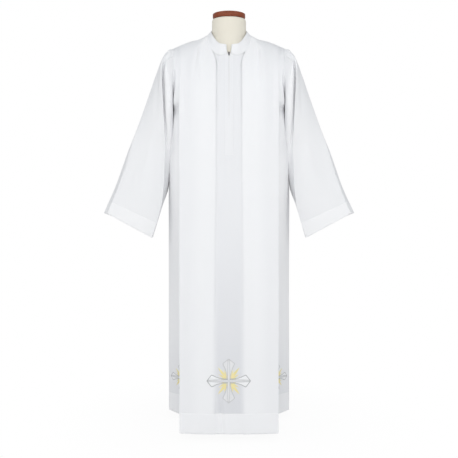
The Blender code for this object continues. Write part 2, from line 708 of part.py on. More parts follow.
def build_sleeves(material):
    grid = sleeve_grid()
    add_solid("sleeve_left", *wall(grid[:, ::-1], CLOTH_WALL, around=True), material)
    add_solid("sleeve_right", *wall(grid * [-1, 1, 1], CLOTH_WALL, around=True), material)


def build_collar(material):
    half = collar_grid()
    other = half[:, -2::-1] * [-1, 1, 1]
    grid = np.concatenate([half, other], axis=1)
    add_solid("collar", *wall(grid[::-1], COLLAR_WALL), material)


def form_ring(ring):
    """One ring of the form, from +X round by the back."""
    points = []
    for side, way in (("back", 1), ("front", -1)):
        quarter = []
        for share in FORM_SHARES:
            x = share * ring["half_width"]
            beside = min(x / min(NECK_HALF_WIDTH, ring["half_width"]), 1)
            neck = ring["neck_" + side] * math.sqrt(1 - beside ** 2)
            body = ring[side] * (1 - share ** 2) ** ring["pinch"]
            depth = (neck ** FORM_BLEND + body ** FORM_BLEND) ** (1 / FORM_BLEND)
            quarter.append((x, ring["middle"] + way * depth))
        half = quarter + [(-x, y) for x, y in quarter[-2::-1]]
        points += half[:-1] if side == "back" else half[:0:-1]
    return points


def build_form(cover, wood):
    points = [(0, float(FORM["middle"][-1]), float(FORM["h"][-1]))]
    for row in reversed(range(len(FORM["h"]))):
        ring = {name: float(FORM[name][row]) for name in FORM}
        outline = form_ring(ring)
        points += [(x, y, ring["h"]) for x, y in outline]
    points.append((0, float(FORM["middle"][0]), float(FORM["h"][0])))
    add_solid("form_body", points, ring_faces(len(FORM["h"]), len(outline)), cover)

    low = HEM_HEIGHT + float(FORM["h"][0]) + TOUCH_GAP
    top = low + CAP_HEIGHT
    profile = [(0, low), (CAP_RADIUS - EDGE_CUT, low), (CAP_RADIUS, low + EDGE_CUT)]
    for step in range(CAP_ARC_STEPS + 1):
        angle = math.pi / 2 * step / CAP_ARC_STEPS
        rim = CAP_RADIUS - CAP_ROUNDING * (1 - math.cos(angle))
        profile.append((rim, top - CAP_ROUNDING * (1 - math.sin(angle))))
    profile.append((0, top))
    add_solid("neck_cap", *lathe(profile), wood, lift=0).location.y = float(FORM["middle"][0])


def build_stand(steel):
    boss_top = BASE_RISE + BOSS_HEIGHT
    profile = [
        (0, 0),
        (BASE_RADIUS - EDGE_CUT, 0),
        (BASE_RADIUS, EDGE_CUT),
        (BASE_RADIUS, BASE_EDGE - EDGE_CUT),
        (BASE_RADIUS - 2 * EDGE_CUT, BASE_EDGE),
        (BOSS_RADIUS + BOSS_FOOT, BASE_RISE),
        (BOSS_RADIUS, BASE_RISE + BOSS_FOOT),
        (BOSS_RADIUS * BOSS_TAPER, boss_top - BOSS_EDGE),
        (BOSS_RADIUS * BOSS_TAPER - BOSS_EDGE, boss_top),
        (0, boss_top),
    ]
    add_solid("stand_base", *lathe(profile), steel, lift=0)
    foot = boss_top + TOUCH_GAP
    head = HEM_HEIGHT + float(FORM["h"][-1]) - TOUCH_GAP
    profile = [(0, foot), (POLE_RADIUS, foot), (POLE_RADIUS, head), (0, head)]
    add_solid("stand_pole", *lathe(profile, POLE_SEGMENTS), steel, lift=0)


def main():
    for existing in list(bpy.data.objects):
        bpy.data.objects.remove(existing, do_unlink=True)
    cloth = make_material("white_cloth", (0.86, 0.87, 0.90), 0.85)
    cover = make_material("form_cover", (0.84, 0.81, 0.72), 0.90)
    wood = make_material("cap_wood", (0.25, 0.07, 0.03), 0.35)
    steel = make_material("stand_steel", (0.12, 0.12, 0.13), 0.45, 0.6)
    build_front(cloth)
    build_back(cloth)
    build_sleeves(cloth)
    build_collar(cloth)
    build_form(cover, wood)
    build_stand(steel)


main()
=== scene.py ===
import math

import bpy
import numpy as np
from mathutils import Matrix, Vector
from mathutils.bvhtree import BVHTree


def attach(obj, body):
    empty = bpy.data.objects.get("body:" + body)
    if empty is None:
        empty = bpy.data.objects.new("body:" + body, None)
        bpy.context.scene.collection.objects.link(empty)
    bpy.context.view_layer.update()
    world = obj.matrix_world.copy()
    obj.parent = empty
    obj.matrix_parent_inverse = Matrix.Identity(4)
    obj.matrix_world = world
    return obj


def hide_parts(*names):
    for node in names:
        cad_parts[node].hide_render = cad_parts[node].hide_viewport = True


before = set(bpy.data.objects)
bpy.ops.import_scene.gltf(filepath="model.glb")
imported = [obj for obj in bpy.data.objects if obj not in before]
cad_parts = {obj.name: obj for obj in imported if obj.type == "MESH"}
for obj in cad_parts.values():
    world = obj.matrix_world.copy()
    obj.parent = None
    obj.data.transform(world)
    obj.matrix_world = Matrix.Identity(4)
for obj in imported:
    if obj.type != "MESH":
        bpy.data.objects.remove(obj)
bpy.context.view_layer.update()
bpy.ops.object.select_all(action="DESELECT")
print("frame loaded:", len(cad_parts), "solids")

# Sizes that every cloth piece shares. Heights h count from the hem.
cloth = {
    "hemHeight": 0.025,
    "thickness": 0.0005,
    "cell": 0.007,
    "seamTuck": 0.0003,
    "stitchDent": 0.0004,
    "stitchReach": 0.0018,
    # whiteness of a hem's stitched row, a painted highlight along the stitching
    "stitchHighlight": 1.2,
    "hemPuff": 0.0003,
    "slitHalfWidth": 0.0002,
    "slitEnd": 1.120,
    "placketEnd": 0.987,
    "placketHalfWidth": 0.0145,
    "underarm": 1.160,
    "layerInside": 0.0007,
    "edgeStitch": 0.0020,
    # grid lines over which a panel's folds die away at its side seams and at its top
    "seamFade": 1.5,
    "topFade": 3,
    # part of a fold's length over which it rises and sinks
    "foldEase": 0.35,
    # slow ripples: how many, and their radians to a metre across and down
    "ripples": 7,
    "rippleAcross": (14, 60),
    "rippleDown": (2, 14),
}


def columns(names, *rows):
    return {name: np.array(values, float) for name, values in zip(names.split(), zip(*rows))}


# A cubic from start to end, with its slopes there given for the whole step.
def hermite(start, leave, end, arrive, t):
    return (
        start * (1 + 2 * t) * (1 - t) ** 2
        + leave * t * (1 - t) ** 2
        + end * t ** 2 * (3 - 2 * t)
        - arrive * t ** 2 * (1 - t)
    )


def curve(knots, values, at):  # monotone cubic through the knots
    at = np.asarray(at, float)
    steps = np.diff(knots)
    rises = np.diff(values) / steps
    slopes = np.zeros(len(knots))
    slopes[0], slopes[-1] = rises[0], rises[-1]
    for i in range(1, len(knots) - 1):
        if rises[i - 1] * rises[i] > 0:
            before = 2 * steps[i] + steps[i - 1]
            after = steps[i] + 2 * steps[i - 1]
            slopes[i] = (before + after) / (before / rises[i - 1] + after / rises[i])
    i = np.clip(np.searchsorted(knots, at, side="right") - 1, 0, len(knots) - 2)
    t = np.clip((at - knots[i]) / steps[i], 0, 1)
    return hermite(values[i], slopes[i] * steps[i], values[i + 1], slopes[i + 1] * steps[i], t)


def read(rows, name, at):
    key = next(iter(rows))
    knots, values = rows[key], rows[name]
    if knots[0] > knots[-1]:
        knots, values = knots[::-1], values[::-1]
    return curve(knots, values, at)


def readAll(rows, at):
    return {name: float(read(rows, name, at)) for name in rows}


def point(rows, at):
    key = next(iter(rows))
    x = at if key == "x" else read(rows, "x", at)
    return np.array([x, read(rows, "y", at), read(rows, "h", at)], float)


def unit(vector):
    return np.asarray(vector, float) / np.linalg.norm(vector)


def squareTo(vector, along):
    along = unit(along)
    return vector - along * float(vector @ along)


def mix(a, b, share):
    return a + (b - a) * share


def ease(t):
    t = np.clip(t, 0.0, 1.0)
    return t * t * (3 - 2 * t)


def risen(at, start, run):  # from 0 at the start to 1 after the run, which may go backwards
    return ease((at - start) / run)


def runAlong(line):  # the distance of each point from the start of the line
    return np.concatenate([[0], np.cumsum(np.linalg.norm(np.diff(line, axis=0), axis=1))])


def pointAt(line, run, at):
    return np.array([np.interp(at, run, line[:, axis]) for axis in range(3)])


# Splits the steps between the lines of points on axis 0 into smooth curves. A line in `sharp` keeps
# its corner; `pull` bends the curve at corners and ends. Also returns the place of each new line,
# counted in old lines.
def smoothLines(points, counts, sharp=(), closed=False, pull=0.5):
    if closed:
        points = np.concatenate([points, points[:1]])
    steps = np.diff(points, axis=0)
    lengths = np.linalg.norm(steps, axis=2, keepdims=True) + 1e-9
    slopes = steps / lengths
    inner = (slopes[:-1] * lengths[1:] + slopes[1:] * lengths[:-1]) / (lengths[:-1] + lengths[1:])
    leave, arrive = slopes.copy(), slopes.copy()
    corners = [0, *sharp, len(points) - 1]
    for i in range(1, len(points) - 1):
        if i not in corners:
            leave[i] = arrive[i - 1] = inner[i - 1]
    for i in corners:
        if i < len(points) - 1:
            leave[i] = (1 + pull) * slopes[i] - pull * arrive[i]
        if i > 0:
            arrive[i - 1] = (1 + pull) * slopes[i - 1] - pull * leave[i - 1]
    lines, places = [], []
    for i, count in enumerate(counts):
        start, end = leave[i] * lengths[i], arrive[i] * lengths[i]
        for t in np.arange(count) / count:
            lines.append(hermite(points[i], start, points[i + 1], end, t))
            places.append(i + t)
    if not closed:
        lines.append(points[-1])
        places.append(len(points) - 1)
    return np.array(lines), np.array(places)


def stepCounts(points, cell, closed=False):  # how many cells each step is worth
    if closed:
        points = np.concatenate([points, points[:1]])
    lengths = np.linalg.norm(np.diff(points, axis=0), axis=2)
    return [max(1, int(round(float(length) / cell))) for length in np.percentile(lengths, 70, axis=1)]


# A fine grid from a coarse one, with the places of its rows and columns.
def refine(grid, cell, sharpColumns=(), closed=False, pull=0.5):
    across = np.swapaxes(grid, 0, 1)
    across, columnPlaces = smoothLines(across, stepCounts(across, cell, closed), sharpColumns, closed)
    down = np.swapaxes(across, 0, 1)
    down, rowPlaces = smoothLines(down, stepCounts(down, cell), pull=pull)
    return down, rowPlaces, columnPlaces


def gridNormals(grid, closed=False):
    if closed:
        across = np.roll(grid, -1, axis=1) - np.roll(grid, 1, axis=1)
    else:
        across = np.gradient(grid, axis=1)
    normals = np.cross(np.gradient(grid, axis=0), across)
    return normals / (np.linalg.norm(normals, axis=2, keepdims=True) + 1e-12)


# Pushes the cloth along `ways` at soft folds, each given as
# (x0, h0, x1, h1, half width, height), and by a slow ripple that differs from place to place.
def foldCloth(grid, ways, folds, ripple=0.0, seed=1):
    x, h = grid[..., 0], grid[..., 2]
    push = np.zeros_like(x)
    for x0, h0, x1, h1, width, height in folds:
        run = np.array([x1 - x0, h1 - h0])
        reach = float(run @ run)
        t = ((x - x0) * run[0] + (h - h0) * run[1]) / reach
        off = ((x - x0) * run[1] - (h - h0) * run[0]) / math.sqrt(reach)
        along = ease(t / cloth["foldEase"]) * ease((1 - t) / cloth["foldEase"])
        push += height * along * np.exp(-((off / width) ** 2))
    dice = np.random.default_rng(seed)
    for _ in range(cloth["ripples"]):
        across, down = dice.uniform(*cloth["rippleAcross"]), dice.uniform(*cloth["rippleDown"])
        start = dice.uniform(0, 2 * math.pi, 2)
        push += ripple / 3 * np.sin(across * x + start[0]) * np.sin(down * h + start[1])
    return grid + ways * push[..., None]


# Lets the folds of a panel die away at its side seams and at its top; `places` count from its middle.
def panelFade(places, rowPlaces):
    sides = ease((places.max() - places) / cloth["seamFade"])
    return sides[None, :, None] * ease(rowPlaces / cloth["topFade"])[:, None, None]


# Turns the last `depth` metres of the grid up inside, as a hem. Also returns the row it is sewn
# at, with the ways out of the cloth there, and the whiteness of each row, with a painted highlight along the
# stitched row.
def turnUp(grid, layersAndShading, depth, closed=False, white=1.0):
    gap = cloth["layerInside"]
    layersAndShading = np.array(np.broadcast_to(layersAndShading, grid.shape[:2]))
    middle = grid[:, grid.shape[1] // 2]
    lengths = np.linalg.norm(np.diff(middle, axis=0), axis=1)
    fromEnd = np.concatenate([np.cumsum(lengths[::-1])[::-1], [0]])
    sewn = int(np.argmin(np.abs(fromEnd - depth)))
    near = cloth["stitchReach"] / lengths[sewn]
    above, under = mix(grid[sewn], grid[sewn - 1], near), mix(grid[sewn], grid[sewn + 1], near)
    grid = np.concatenate([grid[:sewn], [above], grid[sewn:sewn + 1], [under], grid[sewn + 1:]])
    stitched = layersAndShading[sewn:sewn + 1] * 0
    layersAndShading = np.concatenate([layersAndShading[:sewn], layersAndShading[sewn - 1:sewn], stitched, layersAndShading[sewn:]])
    sewn += 1
    # the stitched row gets a painted highlight
    layersAndShading[sewn] = cloth["stitchHighlight"]
    layersAndShading[sewn + 1:] = white
    normals = gridNormals(grid, closed)
    inside = (grid - normals * gap)[sewn:][::-1]
    below = grid[-1] - grid[-2]
    turn = (grid[-1] + inside[0]) / 2 + below / np.linalg.norm(below, axis=1, keepdims=True) * gap / 2
    push = np.zeros(grid.shape[:2])
    push[sewn] = -cloth["stitchDent"]
    push[sewn + 1:-1] = cloth["hemPuff"]
    outside = grid + normals * push[..., None]
    line = outside[sewn] + normals[sewn] * cloth["thickness"] / 2
    layersAndShading = np.concatenate([layersAndShading, layersAndShading[-1:], layersAndShading[sewn:][::-1]])
    return np.concatenate([outside, [turn], inside]), layersAndShading, (line, normals[sewn])


# A mesh of quads from a grid of points. Its UV map is in metres of cloth, and its attribute
# layersAndShading says how white the cloth lies, from 0 in a thin single layer to 1 where it is doubled,
# with painted shade and painted light mixed in where the panels set them.
def gridMesh(name, grid, layersAndShading, closed=False, skip=None):
    rows, across = grid.shape[:2]
    cells = across if closed else across - 1
    faces, corners = [], []
    around = np.concatenate([grid, grid[:, :1]], axis=1) if closed else grid
    wide = np.cumsum(np.linalg.norm(np.diff(around, axis=1), axis=2), axis=1)
    wide = np.concatenate([np.zeros((rows, 1)), wide], axis=1)
    wide -= wide[:, wide.shape[1] // 2][:, None]
    long = np.cumsum(np.linalg.norm(np.diff(around, axis=0), axis=2), axis=0)
    long = np.concatenate([np.zeros((1, around.shape[1])), long], axis=0)
    for i in range(rows - 1):
        for j in range(cells):
            if skip and skip(i, j):
                continue
            here, under, n = i * across, (i + 1) * across, (j + 1) % across
            faces.append((here + j, under + j, under + n, here + n))
            corners += [(i, j), (i + 1, j), (i + 1, j + 1), (i, j + 1)]
    lifted = grid.reshape(-1, 3) + [0, 0, cloth["hemHeight"]]
    mesh = bpy.data.meshes.new(name)
    mesh.from_pydata([tuple(p) for p in lifted], [], faces)
    i, j = np.array(corners).T
    places = np.stack([wide[i, j], long[i, j]], axis=1)
    mesh.uv_layers.new(name="cloth").data.foreach_set("uv", places.astype(np.float32).ravel())
    white = np.broadcast_to(layersAndShading, (rows, across)).astype(np.float32).ravel()
    mesh.attributes.new("layersAndShading", "FLOAT", "POINT").data.foreach_set("value", white)
    return addPiece(name, mesh)


def addPiece(name, mesh):
    piece = bpy.data.objects.new(name, mesh)
    bpy.context.scene.collection.objects.link(piece)
    return piece


def pick(piece):  # the only selected object, and the active one
    bpy.ops.object.select_all(action="DESELECT")
    bpy.context.view_layer.objects.active = piece
    piece.select_set(True)


def applyModifier(piece, kind, **settings):
    pick(piece)
    modifier = piece.modifiers.new(kind.title(), kind)
    for key, value in settings.items():
        setattr(modifier, key, value)
    bpy.ops.object.modifier_apply(modifier=modifier.name)
    bpy.ops.object.select_all(action="DESELECT")


def bevelEdges(piece, width, segments, angle):
    applyModifier(
        piece,
        "BEVEL",
        width=width,
        segments=segments,
        limit_method="ANGLE",
        angle_limit=math.radians(angle),
    )


def smoothShade(piece, angle=50):
    pick(piece)
    bpy.ops.object.shade_smooth_by_angle(angle=math.radians(angle))
    bpy.ops.object.select_all(action="DESELECT")


# Materials

def setInputs(tree, node, inputs):
    for key, value in inputs.items():
        if isinstance(value, bpy.types.NodeSocket):
            tree.links.new(value, node.inputs[key])
        else:
            node.inputs[key].default_value = value


def addNode(tree, kind, inputs=None, **settings):
    made = tree.nodes.new(kind)
    for key, value in settings.items():
        setattr(made, key, value)
    setInputs(tree, made, inputs or {})
    return made


def addMath(tree, operation, *values):
    return addNode(tree, "ShaderNodeMath", dict(enumerate(values)), operation=operation).outputs[0]


def mixColours(tree, factor, first, second):
    made = addNode(tree, "ShaderNodeMix", {0: factor, 6: first, 7: second}, data_type="RGBA")
    return made.outputs[2]


def objectPlace(tree):
    return addNode(tree, "ShaderNodeTexCoord").outputs["Object"]


def addStretch(tree, place, scale):
    return addNode(tree, "ShaderNodeMapping", {"Vector": place, "Scale": scale}).outputs[0]


def addNoise(tree, place, scale, detail=2.0, distortion=0.0):
    inputs = {"Vector": place, "Scale": scale, "Detail": detail, "Distortion": distortion}
    return addNode(tree, "ShaderNodeTexNoise", inputs).outputs[0]


def addBump(tree, height, distance, strength=1.0, under=None):
    inputs = {"Height": height, "Distance": distance, "Strength": strength}
    if under:
        inputs["Normal"] = under
    return addNode(tree, "ShaderNodeBump", inputs).outputs[0]


def addAttribute(tree, name):
    return addNode(tree, "ShaderNodeAttribute", attribute_name=name).outputs["Fac"]


def addUv(tree, name):
    return addNode(tree, "ShaderNodeUVMap", uv_map=name).outputs[0]


def newMaterial(name, colour, roughness, metallic=0.0):
    material = bpy.data.materials.new(name)
    material.use_nodes = True
    tree = material.node_tree
    shader = tree.nodes["Principled BSDF"]
    setInputs(tree, shader, {"Base Color": (*colour, 1), "Roughness": roughness, "Metallic": metallic})
    return material, tree, shader


weave = {
    # colour of a thin single layer: greyer for its thinness, and bluer as painted bluish shade
    "singleAndShade": (0.700, 0.708, 0.738, 1),
    "doubled": (0.906, 0.910, 0.922, 1),
    "layerAndShadingTone": 0.835,
    "slubTone": 0.10,
    "threadsPerMetre": 2400,
    "threadRelief": 0.00006,
    "slubStretch": (900, 60, 1),
    "slubDetail": 3.0,
    "creaseStretch": (9, 9, 3.5),
    "creaseScale": 1.6,
    "creaseDetail": 4.0,
    "creaseRelief": 0.0008,
    "roughness": 0.82,
    "sheen": 0.20,
    "sheenRoughness": 0.4,
}


# Plain-woven cloth: threads over and under along the UV map, slubs, and faint creases from wear.
def makeClothMaterial():
    material, tree, shader = newMaterial("whiteCloth", weave["doubled"][:3], weave["roughness"])
    uv = addUv(tree, "cloth")
    parts = addNode(tree, "ShaderNodeSeparateXYZ", {0: uv}).outputs
    turn = weave["threadsPerMetre"] * math.pi
    warp = addMath(tree, "SINE", addMath(tree, "MULTIPLY", parts[0], turn))
    weft = addMath(tree, "SINE", addMath(tree, "MULTIPLY", parts[1], turn))
    threads = addMath(tree, "MULTIPLY", warp, weft)
    slub = addNoise(tree, addStretch(tree, uv, weave["slubStretch"]), 1.0, weave["slubDetail"])
    squashed = addStretch(tree, objectPlace(tree), weave["creaseStretch"])
    crease = addNoise(tree, squashed, weave["creaseScale"], weave["creaseDetail"])
    spread = addMath(tree, "MULTIPLY", addMath(tree, "SUBTRACT", slub, 0.5), weave["slubTone"])
    # whiteness from the layers of cloth and from painted shade and painted light
    white = addMath(tree, "MULTIPLY", addAttribute(tree, "layersAndShading"), weave["layerAndShadingTone"])
    tone = addMath(tree, "ADD", white, spread)
    fine = addBump(tree, threads, weave["threadRelief"])
    soft = addBump(tree, crease, weave["creaseRelief"], under=fine)
    looks = {
        "Sheen Weight": weave["sheen"],
        "Sheen Roughness": weave["sheenRoughness"],
        "Base Color": mixColours(tree, tone, weave["singleAndShade"], weave["doubled"]),
        "Normal": soft,
    }
    setInputs(tree, shader, looks)
    return material


clothMaterial = makeClothMaterial()


# The body's panels

neckFront = columns(
    "share   x       y        h",
    (0.00, 0.0000, -0.0850, 1.365),
    (0.20, 0.0333, -0.0830, 1.359),
    (0.41, 0.0620, -0.0625, 1.379),
    (0.67, 0.0757, -0.0350, 1.411),
    (1.00, 0.0800, 0.0050, 1.448),
)
neckBack = columns(
    "share   x       y       h",
    (0.00, 0.0000, 0.0680, 1.459),
    (0.35, 0.0480, 0.0590, 1.458),
    (0.65, 0.0740, 0.0360, 1.454),
    (1.00, 0.0800, 0.0050, 1.448),
)
shoulderSeam = columns(
    "x       y      h",
    (0.080, 0.005, 1.448),
    (0.110, 0.006, 1.433),
    (0.145, 0.007, 1.4245),
    (0.178, 0.008, 1.4125),
    (0.198, 0.009, 1.404),
    (0.208, 0.010, 1.400),
)
armholeFront = columns(
    "share   x       y        h",
    (0.00, 0.2080, 0.0100, 1.400),
    (0.15, 0.2068, -0.0340, 1.380),
    (0.36, 0.2045, -0.0780, 1.328),
    (0.50, 0.2038, -0.0930, 1.284),
    (0.66, 0.2040, -0.0880, 1.232),
    (0.83, 0.2066, -0.0500, 1.186),
    (1.00, 0.2120, 0.0200, 1.160),
)
armholeBack = columns(
    "share   x       y       h",
    (0.00, 0.2080, 0.0100, 1.400),
    (0.15, 0.2072, 0.0520, 1.377),
    (0.36, 0.2055, 0.0900, 1.324),
    (0.50, 0.2050, 0.1000, 1.280),
    (0.66, 0.2055, 0.0970, 1.232),
    (0.83, 0.2075, 0.0720, 1.188),
    (1.00, 0.2120, 0.0200, 1.160),
)
# edge: pressed edge of the front panel, fold: bottom of the side fold, side: where the cloth comes
# forward again, crease: pressed side crease, seam: side seam, back and wave: depth and folds behind
bodyLines = columns(
    "h edgeX edgeY bow foldX foldY sideX sideY creaseX creaseY seamX seamY backY wave",
    (1.16, 0.1800, -0.134, 0.012, 0.180, -0.100, 0.1985, -0.070, 0.2095, -0.004, 0.2120, 0.020, 0.150, 0.002),
    (1.07, 0.1797, -0.142, 0.012, 0.172, -0.118, 0.2000, -0.092, 0.2186, 0.018, 0.2185, 0.038, 0.165, 0.005),
    (0.95, 0.1790, -0.152, 0.012, 0.164, -0.120, 0.2020, -0.086, 0.2275, 0.036, 0.2272, 0.054, 0.178, 0.008),
    (0.86, 0.1783, -0.160, 0.012, 0.158, -0.116, 0.2030, -0.072, 0.2328, 0.046, 0.2326, 0.064, 0.186, 0.010),
    (0.57, 0.1772, -0.185, 0.012, 0.155, -0.060, 0.197, -0.016, 0.2340, 0.050, 0.2338, 0.069, 0.203, 0.014),
    (0.27, 0.1761, -0.211, 0.013, 0.160, -0.020, 0.197, 0.010, 0.2350, 0.052, 0.2348, 0.071, 0.214, 0.017),
    (0.00, 0.1751, -0.235, 0.013, 0.163, 0.000, 0.197, 0.024, 0.2360, 0.054, 0.2357, 0.073, 0.222, 0.019),
)
pleatEdge = columns("h x", (0.00, 0.0505), (0.47, 0.0504), (1.00, 0.0474), (1.16, 0.0476))
pleatYoke = columns(
    "share x       underlay",
    (0.00, 0.0615, 0.004),
    (0.06, 0.0580, 0.007),
    (0.12, 0.0530, 0.012),
    (0.19, 0.0490, 0.018),
    (0.30, 0.0478, 0.020),
    (1.00, 0.0476, 0.020),
)
# The spacing of the pleat's three layers, which lie flat on each other behind the front cross.
pleatSteps = columns(
    "h step",
    (0.00, 0.0016),
    (0.07, 0.0016),
    (0.11, 0.0009),
    (0.30, 0.0009),
    (0.55, 0.0012),
    (1.00, 0.0016),
    (1.16, 0.0018),
)
body = {
    "yokeRows": (0, 0.03, 0.06, 0.09, 0.12, 0.15, 0.19, 0.26, 0.36, 0.50, 0.66, 0.83, 1),
    "skirtRows": (1.120, 1.055, 0.987, 0.86, 0.71, 0.50, 0.30, 0.11, 0.07, 0),
    "hemDips": (-0.004, -0.010, -0.005, 0.002, 0.0),
    "frontSpreads": (0.175, 0.35, 0.57, 0.79, 1),
    "backSpreads": (0.35, 0.70, 1),
    "foldStart": 0.35,
    "sag": 0.014,
    # where along the neck some of the grid's lines start, and the ways they leave in
    "placketNeckShare": 0.085,
    "flatLeaves": ((0, -0.32, -1), (0, -0.32, -1), (0, -0.35, -1), (-0.2, -0.42, -1)),
    "pleatNeck": (0.405, (-0.35, -0.55, -1)),
    "pleatLines": 5,
    "shoulderDrop": -0.22,
    "backNeckSpread": 0.4,
    "backNeckDrops": (-0.75, -0.30),
    "notchWidths": (0.0051, 0.0032, 0.0009),
    "pleatStep": 0.0024,
    "pleatUnderlay": 0.020,
    "pleatColumn": 5,
    "pleatEase": 0.0035,
    "pleatShort": 0.18,
    "flatShares": ((0.60, 0.20), (0.78, 0.31)),
    "panelShares": (0.14, 0.29, 0.46, 0.64, 0.82),
    "foldMiddle": 0.55,
    "besideNeck": ((0.54, (-0.12, -0.65, -0.82)), (0.67, (0.35, -0.7, -0.6)), (1, (0.5, -0.8, -0.42))),
    "shoulderColumns": (0.110, 0.145, 0.178),
    "backNeckShares": (0.0, 0.17, 0.35, 0.5, 0.65, 0.82, 1.0),
    "backWaves": 2.25,
    "backFullness": 0.55,
    "hemDepth": 0.068,
}


def frontY(x, h):
    share = x / read(bodyLines, "edgeX", h)
    return read(bodyLines, "edgeY", h) - read(bodyLines, "bow", h) * (1 - share ** 2)


def frontSection(h):
    pleat = float(read(pleatEdge, "x", h))
    under = pleat + body["pleatUnderlay"]
    step = float(read(pleatSteps, "step", h))
    side = readAll(bodyLines, h)
    flat = [cloth["slitHalfWidth"], cloth["placketHalfWidth"]]
    flat += [pleat * share for share, _ in body["flatShares"]] + [pleat - body["pleatEase"]]
    line = [(x, frontY(x, h) + 2 * step) for x in flat]
    line += [(under, frontY(under, h) + 2 * step), (under, frontY(under, h) + step)]
    line += [(pleat, frontY(pleat, h) + step), (pleat, frontY(pleat, h))]
    for share in body["panelShares"]:
        x = mix(pleat, side["edgeX"], share)
        line.append((x, frontY(x, h)))
    turns = [(side[name + "X"], side[name + "Y"]) for name in ("edge", "fold", "side", "crease", "seam")]
    between = tuple(mix(edge, fold, body["foldMiddle"]) for edge, fold in zip(*turns[:2]))
    line += [turns[0], between, *turns[1:]]
    return np.array([(x, y, h) for x, y in line])


def backSection(h, count):
    side = readAll(bodyLines, h)
    line = []
    for share in np.linspace(0, 1, count):
        angle = share * math.pi / 2
        fold = side["wave"] * math.cos(2 * math.pi * body["backWaves"] * share) * (1 - share ** 4)
        x = (side["seamX"] + fold) * math.sin(angle)
        depth = (side["backY"] - side["seamY"]) * math.cos(angle) ** body["backFullness"]
        y = side["seamY"] + depth + fold * math.cos(angle)
        line.append((x, y, h))
    return np.array(line)


# Rows from the top seam to the underarm: each column leaves its seam and runs into the skirt.
def yoke(tops, leaves, bottoms, below, armhole, spreads):
    rows = []
    last = len(tops) - 1
    for share in body["yokeRows"]:
        row = []
        for top, leave, bottom, under in zip(tops, leaves, bottoms, below):
            reach = np.linalg.norm(bottom - top)
            start, end = unit(leave) * reach, unit(under - bottom) * reach
            row.append(hermite(top, start, bottom, end, share))
        way = min(max((share - body["foldStart"]) / (1 - body["foldStart"]), 0), 1)
        sag = body["sag"] * math.sin(math.pi * way ** 2)
        for i, spread in enumerate(spreads, 1):
            plain = mix(row[last], point(armhole, share), spread)
            landing = mix(bottoms[last], point(armhole, 1), spread)
            row.append(plain + ease(way) * (bottoms[last + i] - landing))
            row[-1][2] -= sag * math.sin(math.pi * spread)
        rows.append(row)
    return np.array(rows)


def addShoulder(tops, leaves, way):
    for x in body["shoulderColumns"]:
        tops.append(point(shoulderSeam, x))
        leaves.append((0, way, body["shoulderDrop"]))
    return tops, leaves


# Where the grid's lines start at the neck and shoulder, and the ways they leave in.
def frontTops():
    step = body["pleatStep"]
    shares = [0.0, body["placketNeckShare"]] + [share for _, share in body["flatShares"]]
    tops = [point(neckFront, share) + [0, 2 * step, 0] for share in shares]
    leaves = list(body["flatLeaves"])
    tops[0][0] = cloth["slitHalfWidth"]
    tops[1][0] = cloth["placketHalfWidth"]
    for share, leave in (body["pleatNeck"],) * body["pleatLines"] + body["besideNeck"]:
        tops.append(point(neckFront, share))
        leaves.append(leave)
    return addShoulder(tops, leaves, -1)


def backTops():
    tops, leaves = [], []
    for share in body["backNeckShares"]:
        tops.append(point(neckBack, share))
        leaves.append((body["backNeckSpread"] * share ** 2, 1, mix(*body["backNeckDrops"], share)))
    return addShoulder(tops, leaves, 1)


# The pleat's two hidden layers lie behind the front layer, which starts at the pleat's edge.
def layPleat(rows):
    pleat = body["pleatColumn"]
    front = rows[:, pleat + 3:]
    front[:, 0, 0] = read(pleatYoke, "x", body["yokeRows"])
    downs = np.gradient(front[:, 0], axis=0)
    for row, line, down, share in zip(rows, front, downs, body["yokeRows"]):
        edge = line[0]
        step = unit(np.cross(line[1] - edge, down)) * body["pleatStep"]
        x = edge[0] + float(read(pleatYoke, "underlay", share))
        under = pointAt(line[:4], line[:4, 0], x)
        row[pleat:pleat + 3] = under + 2 * step, under + step, edge + step
        row[pleat - 1] = edge + 2 * step + unit(edge - under) * body["pleatEase"]
    hidden = rows[:, pleat - 1:pleat + 3]
    hidden[0] = mix(hidden[0], hidden[1], body["pleatShort"])


def frontGrid():
    tops, leaves = frontTops()
    bottoms, below = frontSection(cloth["underarm"]), frontSection(cloth["slitEnd"])
    grid = yoke(tops, leaves, bottoms, below, armholeFront, body["frontSpreads"])
    layPleat(grid)
    for row, width in enumerate(body["notchWidths"]):
        grid[row, 0, 0] = width
    skirt = np.array([frontSection(h) for h in body["skirtRows"]])
    skirt[-1, -len(body["hemDips"]):, 2] += body["hemDips"]
    return np.concatenate([grid, skirt])


def backGrid():
    tops, leaves = backTops()
    count = len(tops) + len(body["backSpreads"])
    bottoms, below = backSection(cloth["underarm"], count), backSection(cloth["slitEnd"], count)
    grid = yoke(tops, leaves, bottoms, below, armholeBack, body["backSpreads"])
    return np.concatenate([grid, [backSection(h, count) for h in body["skirtRows"]]])


def mirrored(half):
    return np.concatenate([half[:, ::-1] * [-1, 1, 1], half], axis=1)


def keepCloth(piece, angle=50):
    smoothShade(piece, angle)
    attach(piece, "root")
    return piece


def finishCloth(piece, thickness):
    piece.data.materials.append(clothMaterial)
    applyModifier(piece, "SOLIDIFY", thickness=thickness, offset=0.0)
    return keepCloth(piece)


